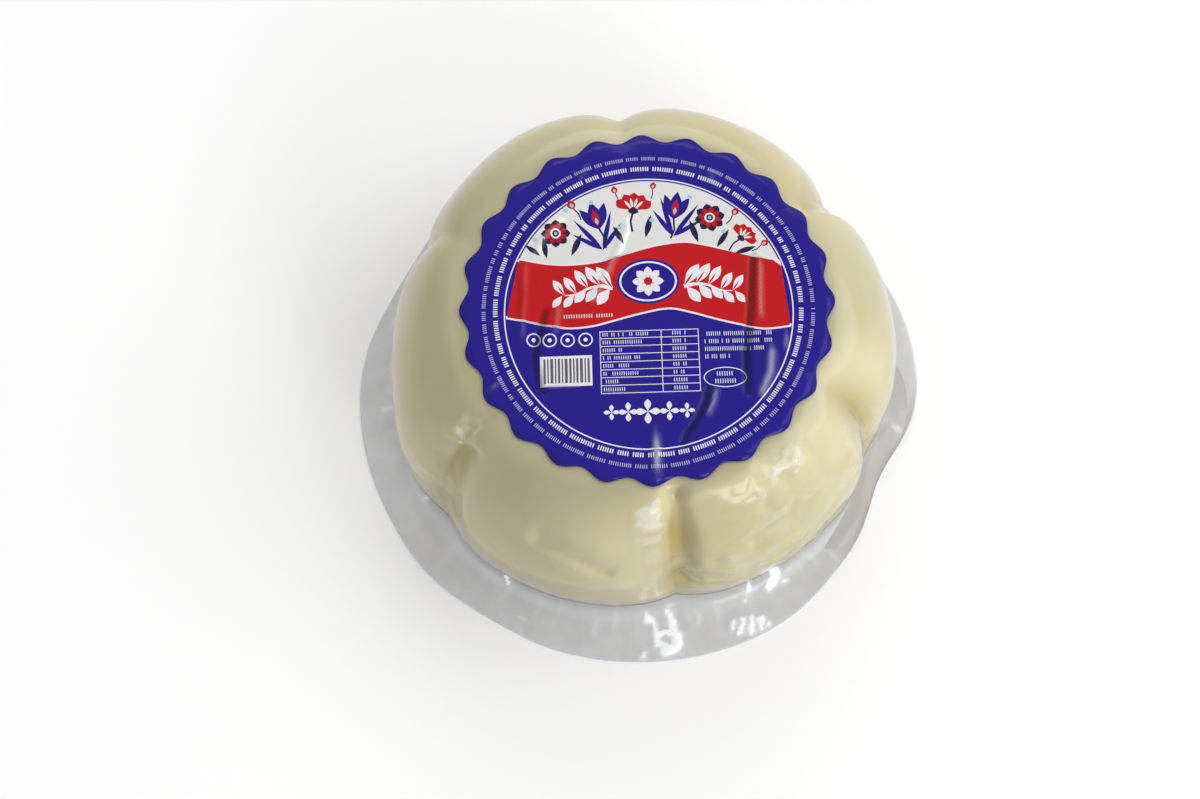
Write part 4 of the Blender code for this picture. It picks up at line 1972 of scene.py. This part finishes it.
@dataclass(frozen=True)
class Label:
    """The printed label, stuck on the film over the block's top."""

    form: BlockForm
    finishes: tuple[InkFinish, ...]
    shift: float = 1.8 * MM
    thickness: float = 0.3 * MM
    over_block: float = 0.6 * MM
    under_block: float = 0.5 * MM
    pitch: float = 0.55
    # The deepest dent, which is also where the dents' painted shade is full, the lift at which the ridges'
    # painted highlight is full, and the powers of both.
    deepest: float = 0.30 * MM
    dent_power: float = 2.0
    bright_edge: float = 0.65 * MM
    edge_power: float = 3.0
    rough_height: float = 0.05 * MM
    rough_size: float = 5.0
    rough_seed: float = 2.0

    def height(self, x: np.ndarray, y: np.ndarray) -> np.ndarray:
        """Height of the label's top face.

        Args:
            x: Places to the right, in metres of the whole object.
            y: Places to the back.

        Returns:
            The height at each place.
        """
        radius = np.hypot(x, y)
        angle = np.arctan2(y, x)
        shoulder = self.form.block_radius - self.form.top_radius
        drop = self.form.block_height - self.form.top_crown - self.form.bulge_height
        past = np.clip((radius - self.form.top_radius) / shoulder, 0.0, 1.0)
        bend = drop * (1.0 - np.sqrt(1.0 - past**2))
        depth = self.form.valley_depth(angle, radius, np.full(radius.shape, self.form.block_height))
        crown = self.form.crown_height(radius) - bend - depth
        return crown + self.under_block + self.over_block + self.thickness

    def build(self) -> bpy.types.Object:
        """Models the label.

        Returns:
            The piece.
        """
        artwork = Artwork()
        artwork.draw()
        points, triangles, inks = artwork.triangles(self.pitch)
        local = np.array([(point.x, point.y) for point in points])
        x, y = local[:, 0] * MM + self.shift, local[:, 1] * MM
        folds = np.maximum(lift_of(LABEL_FOLDS, local[:, 0], local[:, 1]), -self.deepest)
        wave = soft_noise(np.column_stack((local, 0.0 * x)), self.rough_size, self.rough_seed)
        height = self.height(x, y) + folds + self.rough_height * wave
        mesh = bpy.data.meshes.new("label")
        mesh.from_pydata(np.column_stack((x, y, height)).tolist(), [], [list(face) for face in triangles])
        for finish in self.finishes:
            mesh.materials.append(finish.build())
        kinds = [finish.ink for finish in self.finishes]
        mesh.polygons.foreach_set("material_index", [kinds.index(ink) for ink in inks])
        piece = bpy.data.objects.new("label_sheet", mesh)
        bpy.context.scene.collection.objects.link(piece)
        # Painted shade in the dents and a painted highlight on the ridges, kept as masks for the inks.
        write_mask(piece, "dent", np.clip(-folds / self.deepest, 0.0, 1.0) ** self.dent_power)
        write_mask(piece, "edge", np.clip(folds / self.bright_edge, 0.0, 1.0) ** self.edge_power)
        sheet = piece.modifiers.new("thickness", "SOLIDIFY")
        sheet.thickness = self.thickness
        sheet.offset = -1.0
        apply_modifiers(piece)
        shade_smooth(piece)
        join_solid(piece, "label_print", "label")
        return piece


@dataclass(frozen=True)
class Lamp:
    """A soft studio light."""

    name: str
    place: tuple[float, float, float]
    size: float
    power: float
    target: tuple[float, float, float] = (0.0, 0.0, 0.02)

    def build(self) -> None:
        """Adds the light, turned to its target."""
        light = bpy.data.lights.new(self.name, "AREA")
        light.shape = "DISK"
        light.size = self.size
        light.energy = self.power
        holder = bpy.data.objects.new(self.name, light)
        holder.location = self.place
        aim = Vector(self.target) - Vector(self.place)
        holder.rotation_euler = aim.to_track_quat("-Z", "Y").to_euler()
        bpy.context.scene.collection.objects.link(holder)


@dataclass(frozen=True)
class Studio:
    """Floor, lights and camera."""

    elevation: float = 71.4458
    roll: float = -2.8646
    distance: float = 0.4562
    target: tuple[float, float, float] = (-0.0089, -0.0113, 0.0262)
    lens: float = 63.0
    floor_size: float = 6.0
    floor_colour: Colour = (0.93, 0.93, 0.93, 1.0)
    floor_roughness: float = 0.9
    sensor: float = 36.0
    nearest: float = 0.01
    sky_colour: Colour = (1.0, 1.0, 1.0, 1.0)
    ambient: float = 0.70
    lamps: tuple[Lamp, ...] = (
        Lamp("key", (1.00, 0.05, 0.95), 1.20, 5.8),
        Lamp("front", (0.58, -0.95, 0.62), 0.60, 4.1),
        Lamp("fill", (0.10, 1.08, 0.80), 0.90, 4.0),
    )

    def build(self) -> None:
        """Sets up the studio."""
        deselect_all()
        bpy.ops.mesh.primitive_plane_add(size=self.floor_size)
        floor = take_active("floor")
        material, _, shader = new_material("floor")
        shader.inputs["Base Color"].default_value = self.floor_colour
        shader.inputs["Roughness"].default_value = self.floor_roughness
        floor.data.materials.append(material)
        for lamp in self.lamps:
            lamp.build()
        world = bpy.data.worlds.new("studio")
        world.use_nodes = True
        sky = world.node_tree.nodes["Background"]
        sky.inputs["Color"].default_value = self.sky_colour
        sky.inputs["Strength"].default_value = self.ambient
        bpy.context.scene.world = world
        bpy.context.scene.view_settings.view_transform = "Standard"
        self.add_camera()

    def add_camera(self) -> None:
        """Adds the camera as it was fitted to the photograph."""
        tilt, roll = math.radians(self.elevation), math.radians(self.roll)
        back = Vector((0.0, -math.cos(tilt), math.sin(tilt)))
        level_right = Vector((1.0, 0.0, 0.0))
        level_up = Vector((0.0, math.sin(tilt), math.cos(tilt)))
        right = level_right * math.cos(roll) + level_up * math.sin(roll)
        up = level_up * math.cos(roll) - level_right * math.sin(roll)
        lens = bpy.data.cameras.new("camera")
        lens.lens = self.lens
        lens.sensor_width = self.sensor
        lens.clip_start = self.nearest
        camera = bpy.data.objects.new("camera", lens)
        turn = Matrix((right, up, back)).transposed().to_4x4()
        camera.matrix_world = Matrix.Translation(Vector(self.target) + self.distance * back) @ turn
        bpy.context.scene.collection.objects.link(camera)
        bpy.context.scene.camera = camera


def main() -> None:
    """Builds the dressed pack and its studio."""
    logging.basicConfig(level=logging.INFO, format="%(name)s: %(message)s")
    form = BlockForm()
    inks = tuple(InkFinish(ink, metallic=0.25 if ink is Ink.SILVER else 0.0) for ink in Ink)
    Studio().build()
    Butter(form, ButterFinish()).build()
    Film(form, FilmFinish()).build()
    Label(form, inks).build()


if __name__ == "__main__":
    main()
